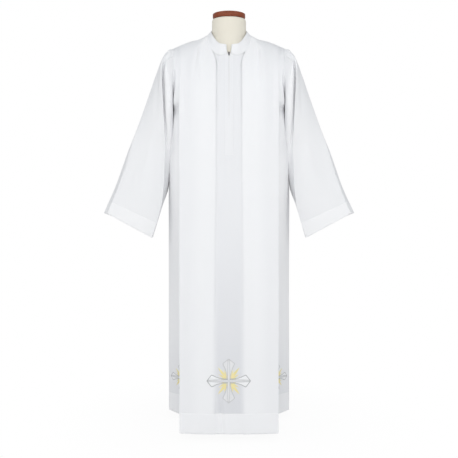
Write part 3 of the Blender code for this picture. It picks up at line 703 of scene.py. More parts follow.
# Soft folds of the front at +X: (x0, h0, x1, h1, half width, height), mirrored for the other half.
frontFolds = (
    (0.125, 1.44, 0.138, 0.98, 0.012, 0.0020),
    (0.160, 1.42, 0.158, 1.05, 0.010, -0.0025),
    (0.182, 1.40, 0.172, 1.12, 0.008, 0.0020),
    (0.202, 1.425, 0.190, 1.350, 0.008, -0.0035),
    (0.100, 1.45, 0.098, 1.15, 0.014, -0.0012),
    (0.085, 0.80, 0.092, 0.10, 0.020, -0.0012),
    (0.140, 0.75, 0.136, 0.08, 0.018, 0.0012),
)
sideFolds = (
    (0.196, 1.255, 0.194, 0.980, 0.009, 0.0060),
    (-0.196, 1.255, -0.194, 0.980, 0.009, 0.0060),
)
centreFolds = (
    (-0.038, 0.16, -0.017, -0.05, 0.007, -0.0055),
    (0.030, 0.40, 0.022, -0.02, 0.010, -0.0010),
)
frontPanel = {
    "sharpColumns": (5, 6, 7, 8, 14, 18),
    # the grid line past the pressed edge at which the cloth turns to the side, and the lines it takes
    "turn": (14.2, 1.6),
    "side": (15.8, 1.2),
    "ripple": 0.0007,
    "rippleSeed": 3,
    "placketLift": 0.0003,
    "placketWhite": 0.75,
}
# How white the front lies, with painted shade and painted light in it, and the start and run in metres of
# each change.
frontWhitesAndShading = {
    # the thin centre, darker towards the hem as painted shade
    "centre": (0.13, 0.66),
    "centreRise": (0.0, 0.9),
    "panel": (0.98, 0.82),
    "panelFall": (0.045, 0.05),
    # the side folds: painted shade at the hem and under the arm, painted light between, above doubled cloth
    "side": (0.62, 1.15),
    "sideRise": (0.0, 0.40),
    "sideTop": 0.82,
    "sideTopRise": (0.95, 0.12),
    "yoke": 0.8,
    "yokeRise": (1.22, 0.2),
    "edgeShift": 0.0015,
    "edgeSoft": (0.003, 0.010),
    "edgeSofter": (1.1, -0.6),
}


# Whiter where the pleat's layers and the yoke double the cloth. Painted shade darkens the thin centre
# towards the hem and the side folds at the hem and under the arm; painted light whitens the side folds
# between.
def frontLayersAndShading(grid, places):
    v = frontWhitesAndShading
    x, h = np.abs(grid[..., 0]), grid[..., 2]
    beside = x - read(pleatEdge, "x", h)
    least, more = v["edgeSoft"]
    soft = least + more * risen(h, *v["edgeSofter"])
    centre = mix(*v["centre"], risen(h, *v["centreRise"]))
    panel = mix(*v["panel"], risen(beside, *v["panelFall"]))
    flat = mix(centre, panel, ease((beside + v["edgeShift"] + soft) / (2 * soft)))
    side = mix(*v["side"], risen(h, *v["sideRise"]))
    side = mix(side, v["sideTop"], risen(h, *v["sideTopRise"]))
    white = np.where(places[None, :] <= frontPanel["turn"][0], flat, side)
    return np.maximum(white, v["yoke"] * risen(h, *v["yokeRise"]))


def skirtRow(rowPlaces, height):  # the row of the fine grid at one of the skirt's rows
    place = len(body["yokeRows"]) + body["skirtRows"].index(height)
    return int(np.searchsorted(rowPlaces, place))


def slitAt(middle, rows):  # says which cells the slit leaves out
    return lambda i, j: j == middle and i < rows


# The strip over the zip, with the lines it is sewn along.
def makePlacket(strip, slitRows):
    strip = strip + gridNormals(strip) * (cloth["thickness"] + frontPanel["placketLift"])
    middle = strip.shape[1] // 2 - 1
    placket = gridMesh("zipPlacket", strip, frontPanel["placketWhite"], skip=slitAt(middle, slitRows))
    finishCloth(placket, cloth["thickness"])
    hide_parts("zip_placket")
    out = gridNormals(strip)
    top = strip + out * cloth["thickness"] / 2
    inset = cloth["edgeStitch"] / cloth["placketHalfWidth"]
    sides = ((0, middle + 1), (-1, middle))
    edges = [(mix(top[:, edge], top[:, inner], inset), out[:, edge]) for edge, inner in sides]
    edges.append((mix(top[-1], top[-2], inset), out[-1]))
    return placket, edges


def makeFront():
    sizes = frontPanel
    half, rowPlaces, columnPlaces = refine(frontGrid(), cloth["cell"], sizes["sharpColumns"])
    half[:, -1] -= gridNormals(half)[:, -1] * cloth["seamTuck"]
    grid = mirrored(half)
    places = np.concatenate([columnPlaces[::-1], columnPlaces])
    turned = risen(places, *sizes["turn"])[None, :, None]
    ways = mix(np.array([0, -1.0, 0]), gridNormals(grid), turned)
    others = [(-x0, h0, -x1, h1, width, height) for x0, h0, x1, h1, width, height in frontFolds]
    folds = [*frontFolds, *others, *centreFolds]
    fade = panelFade(places, rowPlaces)
    grid = foldCloth(grid, ways * fade, folds, sizes["ripple"], sizes["rippleSeed"])
    fade = fade * risen(places, *sizes["side"])[None, :, None]
    grid = foldCloth(grid, ways * fade, sideFolds)
    layersAndShading = frontLayersAndShading(grid, places)
    slitRows = skirtRow(rowPlaces, cloth["slitEnd"])
    strip = grid[:skirtRow(rowPlaces, cloth["placketEnd"]) + 1, places <= 1]
    grid, layersAndShading, hemLine = turnUp(grid, layersAndShading, body["hemDepth"])
    front = gridMesh("robeFront", grid, layersAndShading, skip=slitAt(half.shape[1] - 1, slitRows))
    finishCloth(front, cloth["thickness"])
    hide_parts("front")
    placket, edges = makePlacket(strip, slitRows)
    return front, placket, hemLine, edges


backFolds = (
    (0.020, 1.42, 0.045, 0.70, 0.016, -0.0025),
    (-0.055, 1.38, -0.080, 0.80, 0.018, -0.0025),
    (0.110, 1.40, 0.120, 0.85, 0.015, 0.0025),
    (-0.130, 1.36, -0.140, 0.90, 0.014, 0.0020),
)
backPanel = {"ripple": 0.0012, "rippleSeed": 8, "white": 0.78}


def makeBack():
    half, rowPlaces, columnPlaces = refine(backGrid(), cloth["cell"])
    half[:, -1] += gridNormals(half)[:, -1] * cloth["seamTuck"]
    half[:, 0, 0] = 0.0
    grid = np.concatenate([half[:, :0:-1] * [-1, 1, 1], half], axis=1)[:, ::-1]
    places = np.concatenate([columnPlaces[:0:-1], columnPlaces])[::-1]
    ways = gridNormals(grid) * panelFade(places, rowPlaces)
    grid = foldCloth(grid, ways, backFolds, backPanel["ripple"], backPanel["rippleSeed"])
    grid, layersAndShading, hemLine = turnUp(grid, backPanel["white"], body["hemDepth"])
    back = gridMesh("robeBack", grid, layersAndShading)
    finishCloth(back, cloth["thickness"])
    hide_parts("back")
    return back, hemLine


frontPiece, placketPiece, frontHem, placketEdges = makeFront()
backPiece, backHem = makeBack()
print("body panels made")


# Sleeves

sleeveLines = columns(
    "ring outerX outerH sideX foldX foldY foldH edgeX edgeY underX underH backY",
    (1, 0.2238, 1.3924, 0.2230, 0.2270, -0.058, 1.368, 0.2085, -0.101, 0.2150, 1.148, 0.094),
    (2, 0.2386, 1.3795, 0.2372, 0.2375, -0.070, 1.353, 0.2080, -0.106, 0.2160, 1.143, 0.092),
    (4, 0.2622, 1.3350, 0.2602, 0.2480, -0.088, 1.304, 0.2070, -0.106, 0.2180, 1.130, 0.086),
    (6, 0.3000, 1.2300, 0.2965, 0.2425, -0.094, 1.205, 0.2068, -0.096, 0.2210, 1.100, 0.078),
    (8, 0.3384, 1.1283, 0.3330, 0.2383, -0.084, 1.087, 0.2092, -0.077, 0.2255, 1.040, 0.070),
    (9, 0.3615, 1.0715, 0.3540, 0.2365, -0.071, 1.020, 0.2152, -0.056, 0.2280, 0.990, 0.066),
    (10, 0.3845, 1.0147, 0.3735, 0.2398, -0.067, 0.955, 0.2215, -0.036, 0.2300, 0.935, 0.062),
    (11, 0.4097, 0.9445, 0.3940, 0.2440, -0.062, 0.875, 0.2330, -0.026, 0.2325, 0.870, 0.058),
    (12, 0.4349, 0.8742, 0.4180, 0.2525, -0.057, 0.808, 0.2510, -0.024, 0.2545, 0.808, 0.054),
    (14, 0.4797, 0.7748, 0.4591, 0.2905, -0.045, 0.6835, 0.2900, -0.014, 0.2950, 0.6835, 0.045),
)
sleeveRoll = columns(
    "ring valleyX valleyY crestX crestY",
    (1, 0.2232, -0.064, 0.2165, -0.096),
    (2, 0.2340, -0.074, 0.2225, -0.108),
    (4, 0.2450, -0.074, 0.2250, -0.119),
    (6, 0.2398, -0.074, 0.2228, -0.111),
    (8, 0.2360, -0.068, 0.2230, -0.090),
    (9, 0.2342, -0.064, 0.2245, -0.070),
    (11, 0.2415, -0.054, 0.2375, -0.050),
)
sleeveSide = columns("ring y", (1, -0.010), (4, -0.019), (8, -0.026), (14, -0.030))
sleeve = {
    "rings": 14,
    "headShift": 0.0002,
    "underarmShift": 0.0004,
    "crestHalfWidth": 0.0082,
    "valleyHalfWidth": 0.0014,
    "faceShares": (0.36, 0.70),
    "faceBulge": 0.010,
    "innerShares": (0.05, 0.08, 0.14, 0.28, 0.42, 0.64, 0.84),
    "rollRings": (6, 11),
    "plainShares": (0.2, 0.4, 0.6, 0.8),
    "outerY": 0.020,
    "sideDrop": 0.001,
    "underY": 0.020,
    # how much the inside bellies forward at the shoulder and further down, by the ring named last
    "belly": (2.5, 1.0, 9),
    "bellyShares": (0.35, 0.70),
    "backEven": 7,
    "backRound": 0.6,
    # where along the armhole the sleeve draws in under the arm
    "underarm": (0.55, 0.35),
    "sharpColumns": (1, 4),
    "pull": 0.1,
    "cuffDepth": 0.058,
    # whiteness of the sleeve: its cloth, raised by painted light on its side-facing faces
    "white": 0.98,
    "cuffWhite": 1.25,
    "headWay": (0.30, -0.90, 0.30),
    # rings between which the pressed creases fade out towards the shoulder
    "creaseFade": (0.8, 4.5),
    # rings over which the gathers and the soft folds begin
    "gatherRise": 0.8,
    "foldRise": 1.5,
    # the grid lines at which the face and the gathered front end, and the lines over which they fade
    "faceEnd": (5, -1.0),
    "gatherEnd": (11, -2.0),
    "faceRipple": 0.0008,
    "faceSeed": 5,
    "backRipple": 0.0012,
    "backSeed": 15,
}


def sleeveRing(ring):
    v = readAll(sleeveLines, ring)
    outer = np.array([v["outerX"], sleeve["outerY"], v["outerH"]])
    side = np.array([v["sideX"], float(read(sleeveSide, "y", ring)), v["outerH"] - sleeve["sideDrop"]])
    fold = np.array([v["foldX"], v["foldY"], v["foldH"]])
    under = np.array([v["underX"], sleeve["underY"], v["underH"]])
    line = [outer, side]
    for share in sleeve["faceShares"]:
        line.append(mix(side, fold, share) - [0, sleeve["faceBulge"] * math.sin(math.pi * share), 0])
    line.append(fold)
    heights = [mix(v["foldH"], v["underH"], share) for share in sleeve["innerShares"]]
    edgeLine = len(sleeve["plainShares"])
    edge = np.array([v["edgeX"], v["edgeY"], heights[edgeLine]])
    start, end = sleeve["rollRings"]
    r = readAll(sleeveRoll, min(ring, end))
    rolled = (
        (r["valleyX"] + sleeve["valleyHalfWidth"], r["valleyY"]),
        (r["valleyX"] - sleeve["valleyHalfWidth"], r["valleyY"]),
        (r["crestX"] + sleeve["crestHalfWidth"], r["crestY"]),
        (r["crestX"] - sleeve["crestHalfWidth"], r["crestY"]),
    )
    fade = risen(ring, start, end - start)
    for place, height, share in zip(rolled, heights, sleeve["plainShares"]):
        line.append(mix(np.array([*place, height]), mix(fold, edge, share), fade))
    line.append(edge)
    full, slight, lastRing = sleeve["belly"]
    belly = mix(full, slight, ease(ring / lastRing))
    for height, share in zip(heights[edgeLine + 1:], sleeve["bellyShares"]):
        x, y = mix(edge[0], under[0], share), mix(edge[1], under[1], share ** belly)
        line.append(np.array([x, y, height]))
    line.append(under)
    spread = ease(ring / sleeve["backEven"])
    backRows = body["yokeRows"][-2:0:-1]
    for i, row in enumerate(backRows, 1):
        share = mix(1 - row, i / (len(backRows) + 1), spread)
        bulge = v["backY"] * math.sin(math.pi * share) ** sleeve["backRound"]
        line.append(mix(under, outer, share) + [0, bulge, 0])
    return np.array(line)


def sleeveGrid():
    rows = body["yokeRows"]
    head = [point(armholeFront, share) for share in rows]
    head += [point(armholeBack, share) for share in rows[-2:0:-1]]
    for place, share in zip(head, rows + rows[-2:0:-1]):
        place[0] += sleeve["headShift"] + sleeve["underarmShift"] * risen(share, *sleeve["underarm"])
    return np.array([head] + [sleeveRing(ring) for ring in range(1, sleeve["rings"] + 1)])


# Gathers of the sleeve at +X below the shoulder, and its soft folds, in x and h as seen from the front.
headFolds = (
    (0.217, 1.412, 0.2110, 1.345, 0.0045, -0.0035),
    (0.226, 1.405, 0.2190, 1.325, 0.0045, 0.0020),
    (0.234, 1.398, 0.2300, 1.352, 0.0050, -0.0022),
)
sleeveFolds = (
    (0.262, 1.34, 0.272, 1.10, 0.009, -0.0030),
    (0.240, 1.38, 0.262, 1.20, 0.007, 0.0025),
    (0.280, 1.10, 0.330, 0.86, 0.014, 0.0020),
    (0.265, 1.02, 0.300, 0.78, 0.012, -0.0020),
    (0.330, 1.02, 0.385, 0.84, 0.014, -0.0015),
)


def makeSleeve(side):
    sizes = sleeve
    shape = {"closed": True, "pull": sizes["pull"]}
    pressed, rowPlaces, columnPlaces = refine(sleeveGrid(), cloth["cell"], sizes["sharpColumns"], **shape)
    soft = refine(sleeveGrid(), cloth["cell"], **shape)[0]
    start, end = sizes["creaseFade"]
    grid = mix(soft, pressed, risen(rowPlaces, start, end - start)[:, None, None])
    sign = 1 if side == "Left" else -1
    face = ease(columnPlaces) * risen(columnPlaces, *sizes["faceEnd"])
    front = ease(columnPlaces) * risen(columnPlaces, *sizes["gatherEnd"])
    rise = ease(rowPlaces / sizes["gatherRise"])[:, None, None]
    grid = foldCloth(grid, unit(sizes["headWay"]) * rise * front[None, :, None], headFolds)
    out = -gridNormals(grid, closed=True) * ease(rowPlaces / sizes["foldRise"])[:, None, None]
    faceWays, backWays = out * face[None, :, None], out * (1 - face)[None, :, None]
    grid = foldCloth(grid, faceWays, sleeveFolds, sizes["faceRipple"], sizes["faceSeed"] + sign)
    grid = foldCloth(grid, backWays, (), sizes["backRipple"], sizes["backSeed"] + sign)
    grid = grid[:, ::-1] if sign > 0 else grid * [-1, 1, 1]
    hem = {"closed": True, "white": sizes["cuffWhite"]}
    grid, layersAndShading, cuffLine = turnUp(grid, sizes["white"], sizes["cuffDepth"], **hem)
    piece = gridMesh("sleeve" + side, grid, layersAndShading, closed=True)
    finishCloth(piece, cloth["thickness"])
    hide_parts("sleeve_" + side.lower())
    return piece, cuffLine


(leftSleeve, leftCuff), (rightSleeve, rightCuff) = makeSleeve("Left"), makeSleeve("Right")
print("sleeves made")


# Collar

collarTopFront = columns(
    "share   x       y        h",
    (0.00, 0.0000, -0.0750, 1.3966),
    (0.20, 0.0335, -0.0660, 1.4030),
    (0.41, 0.0515, -0.0460, 1.4235),
    (0.67, 0.0648, -0.0200, 1.4500),
    (1.00, 0.0662, 0.0040, 1.4630),
)
collarTopBack = columns(
    "share   x       y       h",
    (0.00, 0.0000, 0.0610, 1.482),
    (0.35, 0.0400, 0.0515, 1.479),
    (0.65, 0.0615, 0.0310, 1.471),
    (1.00, 0.0662, 0.0040, 1.463),
)
collarNotch = columns("share halfWidth", (0.00, 0.0056), (0.20, 0.0070), (0.45, 0.0084), (1.00, 0.0093))
collar = {
    "frontLines": ((0, 0.0), (1, 0.085), (2, 0.20), (3, 0.31), (8, 0.405), (9, 0.54), (10, 0.67), (11, 1.0)),
    "backLines": ((5, 0.82), (4, 0.65), (3, 0.50), (2, 0.35), (1, 0.17), (0, 0.0)),
    "thickness": 0.0018,
    "gap": -0.0013,
    "cell": 0.003,
    "white": 0.92,
    "stitchRow": 1,
}


def collarGrid():
    front, back = frontGrid(), backGrid()
    pairs, tops = [], []
    for column, share in collar["frontLines"]:
        depth = body["pleatStep"] if column < body["pleatColumn"] else 0
        pairs.append(front[:2, column] - [0, depth, 0])
        tops.append(point(collarTopFront, share))
    for column, share in collar["backLines"]:
        pairs.append(back[:2, column])
        tops.append(point(collarTopBack, share))
    seams = np.array([pair[0] for pair in pairs])
    bottoms = []
    for (seam, below), along, top in zip(pairs, np.gradient(seams, axis=0), tops):
        up = squareTo(unit(top - seam), along)
        turn = math.acos(float(unit(up) @ unit(squareTo(seam - below, along))))
        gap = collar["gap"] + (collar["thickness"] + cloth["thickness"]) / 2 * math.tan(turn / 2)
        bottoms.append(seam + unit(top - seam) * gap / np.linalg.norm(up))
    grid = []
    for share in collarNotch["share"]:
        row = [mix(bottom, top, share) for bottom, top in zip(bottoms, tops)]
        row[0][0] = float(read(collarNotch, "halfWidth", share))
        grid.append(row)
    return np.array(grid)


def makeCollar():
    half = collarGrid()
    whole = np.concatenate([half, half[:, -2::-1] * [-1, 1, 1]], axis=1)[::-1]
    grid = refine(whole, collar["cell"])[0]
    piece = gridMesh("collarBand", grid, collar["white"])
    finishCloth(piece, collar["thickness"])
    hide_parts("collar")
    out = gridNormals(grid)
    top = grid + out * collar["thickness"] / 2
    near = collar["stitchRow"]
    return piece, [(top[near], out[near]), (top[-1 - near], out[-1 - near])]


collarPiece, collarLines = makeCollar()
print("collar made")


# Machine stitches: each is a short raised thread with pointed ends that dip into the cloth.

stitch = {"length": 0.0026, "pitch": 0.0034, "width": 0.0005, "height": 0.00030, "dip": 0.00012}
# parts of a stitch's length, width, and height above or dip below the cloth
stitchShape = (
    (-0.5, 0.0, -1.0), (-0.25, -0.5, 0.0), (-0.25, 0.0, 1.0), (-0.25, 0.5, 0.0),
    (0.25, -0.5, 0.0), (0.25, 0.0, 1.0), (0.25, 0.5, 0.0), (0.5, 0.0, -1.0),
)
stitchFaces = ((0, 2, 1), (0, 3, 2), (1, 2, 5, 4), (2, 3, 6, 5), (4, 5, 7), (5, 6, 7))
threadWhite = newMaterial("whiteThread", (0.900, 0.905, 0.915), 0.55)[0]


def sewLines(name, lines, closed=False):
    verts, faces = [], []
    for line, out in lines:
        if closed:
            line, out = np.concatenate([line, line[:1]]), np.concatenate([out, out[:1]])
        run = runAlong(line)
        for at in np.arange(stitch["pitch"] / 2, run[-1], stitch["pitch"]):
            ends = at - stitch["length"] / 2, at, at + stitch["length"] / 2
            first, spot, last = (pointAt(line, run, end) for end in ends)
            up = unit(pointAt(out, run, at))
            along = unit(squareTo(last - first, up))
            across = np.cross(up, along)
            base = len(verts)
            for t, side, rise in stitchShape:
                lift = stitch["height"] * rise if rise > 0 else stitch["dip"] * rise
                place = spot + along * t * stitch["length"] + across * side * stitch["width"] + up * lift
                verts.append(tuple(place + [0, 0, cloth["hemHeight"]]))
            faces += [[base + corner for corner in face] for face in stitchFaces]
    mesh = bpy.data.meshes.new(name)
    mesh.from_pydata(verts, [], faces)
    mesh.materials.append(threadWhite)
    keepCloth(addPiece(name, mesh), angle=80)


sewLines("frontStitches", [frontHem, *placketEdges])
sewLines("backStitches", [backHem])
sewLines("leftCuffStitches", [leftCuff], closed=True)
sewLines("rightCuffStitches", [rightCuff], closed=True)
sewLines("collarStitches", collarLines)
print("hems stitched")


# Embroidered crosses, in metres from each cross's centre: t along an arm, s across it

crossArm = columns(
    "t       edge    bar",
    (0.0040, 0.0066, 0.0036),
    (0.0200, 0.0074, 0.0036),
    (0.0320, 0.0090, 0.0036),
    (0.0430, 0.0128, 0.0034),
    (0.0510, 0.0170, 0.0031),
    (0.0585, 0.0200, 0.0028),
    (0.0640, 0.0132, 0.0023),
    (0.0695, 0.0062, 0.0014),
    (0.0745, 0.0000, 0.0000),
)
crosses = {
    "armTurns": (0, 90, 180, 270),
    "edgeWidth": 0.0017,
    "barWidth": 0.0009,
    "fillStart": 0.024,
    "fillEnd": 0.068,
    "leastReach": 0.0002,
    "leastBar": 0.0003,
    "fillMargin": 0.0004,
    "steps": 22,
    "height": 0.0011,
    "sunk": 0.0003,
    "longestStitch": 0.009,
    "castFrom": 0.04,
    # a strip's height beside its middle, the heights of the kinds of strip, and of dark outlines
    "shoulder": 0.75,
    "levelRise": 0.75,
    "uprightRise": 0.90,
    "leafRise": 0.55,
    "outlineRise": 0.25,
    "darkTone": 0.5,
    # tones of an arm's outline, filling and middle bar, from 0, dark, to 1, light; level and upright arms
    # differ by painted sheen along their threads
    "levelTonesAndSheen": (0.40, 1.0, 0.84),
    "uprightTonesAndSheen": (0.56, 0.84, 0.88),
    "leafSpan": (0.02, 0.98),
    "leafLean": 0.75,
    "leafFullness": 0.8,
    # angle from the nearer level arm, start, length, half width
    "leaves": ((51, 0.008, 0.057, 0.0058), (33, 0.010, 0.040, 0.0036), (67, 0.012, 0.040, 0.0032)),
    "rays": ((17, 0.016, 0.047, 0.0014),),
    "frontPlace": (-0.001, -0.6, 0.1855),
    "frontScale": 1.035,
    "sidePlace": (0.1828, -0.1, 0.139),
    "backPlace": (0.0, 0.6, 0.190),
    "sideScale": 0.75,
}
# silver from dark to light by each strip's tone, which carries painted sheen
silverThread = {"dark": (0.240, 0.245, 0.250, 1), "light": (0.900, 0.905, 0.920, 1), "roughness": 0.45}
goldThread = {"colour": (0.850, 0.755, 0.370), "roughness": 0.42}
threadLook = {"perMetre": 2600, "relief": 0.0001, "strength": 0.6, "metallic": 0.1}


def makeThread(name, colour, roughness, shaded=None):
    material, tree, shader = newMaterial(name, colour[:3], roughness, threadLook["metallic"])
    along = addNode(tree, "ShaderNodeSeparateXYZ", {0: addUv(tree, "thread")}).outputs[1]
    twist = addMath(tree, "SINE", addMath(tree, "MULTIPLY", along, threadLook["perMetre"] * math.pi))
    setInputs(tree, shader, {"Normal": addBump(tree, twist, threadLook["relief"], threadLook["strength"])})
    if shaded:
        shade = addAttribute(tree, "shade")
        setInputs(tree, shader, {"Base Color": mixColours(tree, shade, colour, shaded)})
    return material


threadMaterials = (
    makeThread("silverThread", silverThread["dark"], silverThread["roughness"], silverThread["light"]),
    makeThread("goldThread", goldThread["colour"], goldThread["roughness"]),
)


# A strip of satin stitch: a line of (t, s) points, its half widths, its tone and its material.
def satinStrip(line, widths, tone, thread):
    line = np.array(line, float)
    ways = np.gradient(line, axis=0)
    ways /= np.linalg.norm(ways, axis=1, keepdims=True) + 1e-12
    across = np.stack([-ways[:, 1], ways[:, 0]], axis=1)
    return line, across * np.asarray(widths)[:, None], tone, thread


def armStrips(levelArm):
    t = np.linspace(crossArm["t"][0], crossArm["t"][-1], crosses["steps"] * 2)
    edge = np.interp(t, crossArm["t"], crossArm["edge"])
    half = np.interp(t, crossArm["t"], crossArm["bar"])
    outline, filling, bar = crosses["levelTonesAndSheen"] if levelArm else crosses["uprightTonesAndSheen"]
    strips = []
    filled = (t > crosses["fillStart"]) & (t < crosses["fillEnd"])
    middle = (edge + half) / 2
    reach = np.maximum((edge - half) / 2 - crosses["fillMargin"], crosses["leastReach"])
    for side in (1, -1):
        line = np.stack([t, side * middle], axis=1)[filled]
        strips.append(satinStrip(line, reach[filled], filling, 0))
    strips.append(satinStrip(np.stack([t, 0 * t], axis=1), np.maximum(half, crosses["leastBar"]), bar, 0))
    for side in (1, -1):
        for off, width in ((edge, crosses["edgeWidth"]), (half, crosses["barWidth"])):
            line = np.stack([t, side * off], axis=1)
            strips.append(satinStrip(line, np.full(len(t), width), outline, 0))
    return strips


def leafStrips():
    strips = []
    for angle, start, length, width in crosses["leaves"] + crosses["rays"]:
        t = np.linspace(0, 1, crosses["steps"])
        lean = np.clip(t, *crosses["leafSpan"]) ** crosses["leafLean"]
        widths = width * np.sin(math.pi * lean) ** crosses["leafFullness"]
        for turn in (angle, 180 - angle, 180 + angle, 360 - angle):
            way = np.array([math.cos(math.radians(turn)), math.sin(math.radians(turn))])
            line = (start + (length - start) * t)[:, None] * way
            strips.append((*satinStrip(line, widths, 0, 1), crosses["leafRise"]))
    return strips


def crossStrips():
    strips = leafStrips()
    for turn in crosses["armTurns"]:
        c, s = math.cos(math.radians(turn)), math.sin(math.radians(turn))
        spin = np.array([[c, s], [-s, c]])
        level = turn % 180 == 0
        rise = crosses["levelRise"] if level else crosses["uprightRise"]
        for line, across, tone, thread in armStrips(level):
            strips.append((line @ spin, across @ spin, tone, thread, rise))
    return strips


satinWays = (-1.0, -0.6, 0.0, 0.6, 1.0)  # the points across a strip, in parts of its half width


# Sews the strips onto the cloth: each point is cast onto it, and stands a thread's height above.
def makeCross(name, target, place, aim, scale):
    cloth3d = BVHTree.FromPolygons(
        [vertex.co for vertex in target.data.vertices],
        [face.vertices[:] for face in target.data.polygons],
    )
    start = Vector(place) + Vector((0, 0, cloth["hemHeight"]))
    centre, normal, *_ = cloth3d.ray_cast(start, Vector(aim))
    if normal.dot(Vector(aim)) > 0:
        normal = -normal
    level = Vector((0, 0, 1)).cross(normal).normalized()
    up = normal.cross(level).normalized()
    verts, faces, uvs, tones, slots = [], [], [], [], []
    for line, across, tone, thread, rise in crossStrips():
        darker = crosses["outlineRise"] * (thread == 0 and tone < crosses["darkTone"])
        lift = crosses["height"] * (rise + darker)
        beside = lift * crosses["shoulder"]
        heights = (-crosses["sunk"], beside, lift, beside, -crosses["sunk"])
        base = len(verts)
        for middle, reach, along in zip(line, across, runAlong(line)):
            for way, height in zip(satinWays, heights):
                flat = (middle + reach * way) * scale
                spot = centre + level * float(flat[0]) + up * float(flat[1])
                hit = cloth3d.ray_cast(spot + normal * crosses["castFrom"], -normal)[0]
                spot = (hit or spot) + normal * (height * (0.5 + 0.5 * scale))
                verts.append(spot)
                uvs.append((way * float(np.linalg.norm(reach)), along))
                tones.append(tone)
        wide = len(satinWays)
        for i in range(len(line) - 1):
            for j in range(wide - 1):
                a = base + i * wide + j
                corners = (a, a + wide, a + wide + 1, a + 1)
                longest = max((verts[m] - verts[n]).length for m, n in zip(corners, corners[1:]))
                if longest < crosses["longestStitch"]:
                    faces.append(corners)
                    slots.append(thread)
    mesh = bpy.data.meshes.new(name)
    mesh.from_pydata(verts, [], faces)
    uvLayer = mesh.uv_layers.new(name="thread")
    for loop in mesh.loops:
        uvLayer.data[loop.index].uv = uvs[loop.vertex_index]
    mesh.attributes.new("shade", "FLOAT", "POINT").data.foreach_set("value", tones)
    for material in threadMaterials:
        mesh.materials.append(material)
    mesh.polygons.foreach_set("material_index", slots)
    if sum(face.normal.dot(normal) for face in mesh.polygons) < 0:
        mesh.flip_normals()
    keepCloth(addPiece(name, mesh))


sideX, sideY, sideH = crosses["sidePlace"]
makeCross("frontCross", frontPiece, crosses["frontPlace"], (0, 1, 0), crosses["frontScale"])
makeCross("leftCross", frontPiece, (sideX, sideY, sideH), (0, 1, 0), crosses["sideScale"])
makeCross("rightCross", frontPiece, (-sideX, sideY, sideH), (0, 1, 0), crosses["sideScale"])
makeCross("backCross", backPiece, crosses["backPlace"], (0, -1, 0), 1.0)
print("crosses sewn")


# Dress form and stand

jersey = {
    "colour": (0.815, 0.775, 0.675),
    "ribs": 900,
    "ribStretch": (1, 1, 0.55),
    "relief": 0.00010,
    "strength": 0.6,
    "roughness": 0.9,
    "shade": 0.93,
    "shadeScale": 14.0,
    "shadeDetail": 3.0,
}
capWood = {
    "dark": (0.110, 0.017, 0.003, 1),
    "light": (0.350, 0.070, 0.012, 1),
    "roughness": 0.50,
    "coat": 0.02,
    "coatRoughness": 0.12,
    "stretch": (3, 40, 40),
    "grain": 3.0,
    "detail": 8.0,
    "distortion": 0.6,
    "relief": 0.0001,
    "strength": 0.3,
}
# the slider's dark grey, also painted shade at the notch's tip
zipGreyAndShade = {"colour": (0.085, 0.085, 0.095), "roughness": 0.45, "metallic": 0.3, "grain": 300, "worn": 1.6}
darkSteel = {
    "colour": (0.030, 0.030, 0.033),
    "roughness": 0.42,
    "metallic": 0.4,
    "grain": 900,
    "relief": 0.00006,
}


def scaled(colour, factor):
    return [factor * value for value in colour] + [1]


def makeJersey():
    material, tree, shader = newMaterial("creamJersey", jersey["colour"], jersey["roughness"])
    place = objectPlace(tree)
    around = addStretch(tree, place, jersey["ribStretch"])
    loops = addNode(tree, "ShaderNodeTexVoronoi", {"Vector": around, "Scale": jersey["ribs"]}).outputs[0]
    shade = addNoise(tree, place, jersey["shadeScale"], jersey["shadeDetail"])
    colour = mixColours(tree, shade, scaled(jersey["colour"], 1), scaled(jersey["colour"], jersey["shade"]))
    bump = addBump(tree, loops, jersey["relief"], jersey["strength"])
    setInputs(tree, shader, {"Base Color": colour, "Normal": bump})
    return material


def makeWood():
    material, tree, shader = newMaterial("redWood", capWood["light"][:3], capWood["roughness"])
    along = addStretch(tree, objectPlace(tree), capWood["stretch"])
    grain = addNoise(tree, along, capWood["grain"], capWood["detail"], capWood["distortion"])
    looks = {
        "Coat Weight": capWood["coat"],
        "Coat Roughness": capWood["coatRoughness"],
        "Base Color": mixColours(tree, grain, capWood["dark"], capWood["light"]),
        "Normal": addBump(tree, grain, capWood["relief"], capWood["strength"]),
    }
    setInputs(tree, shader, looks)
    return material


def makeSlider():
    grey = zipGreyAndShade["colour"]
    material, tree, shader = newMaterial("greyZipAndShade", grey, zipGreyAndShade["roughness"], zipGreyAndShade["metallic"])
    grain = addNoise(tree, objectPlace(tree), zipGreyAndShade["grain"])
    colour = mixColours(tree, grain, scaled(grey, 1), scaled(grey, zipGreyAndShade["worn"]))
    setInputs(tree, shader, {"Base Color": colour})
    return material


def makeSteel():
    steel = darkSteel
    material, tree, shader = newMaterial("darkSteel", steel["colour"], steel["roughness"], steel["metallic"])
    grain = addNoise(tree, objectPlace(tree), steel["grain"])
    setInputs(tree, shader, {"Normal": addBump(tree, grain, steel["relief"])})
    return material


def chooseFaces(piece, test):
    bpy.ops.object.mode_set(mode="EDIT")
    bpy.ops.mesh.select_mode(type="FACE")
    bpy.ops.mesh.select_all(action="DESELECT")
    bpy.ops.object.mode_set(mode="OBJECT")
    for face in piece.data.polygons:
        face.select = test(face)
    bpy.ops.object.mode_set(mode="EDIT")


def extrudeFaces(rise):
    bpy.ops.mesh.extrude_region_move()
    bpy.ops.transform.translate(value=(0, 0, rise))


def finishRigid(piece, material, node=None):
    pick(piece)
    bpy.ops.object.transform_apply(location=True, rotation=True, scale=True)
    piece.data.materials.clear()
    piece.data.materials.append(material)
    smoothShade(piece, angle=40)
    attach(piece, "root")
    if node:
        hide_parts(node)
    return piece


formCover = {"merge": 1e-5, "voxel": 0.004, "smoothing": 8, "smoothFactor": 0.5}


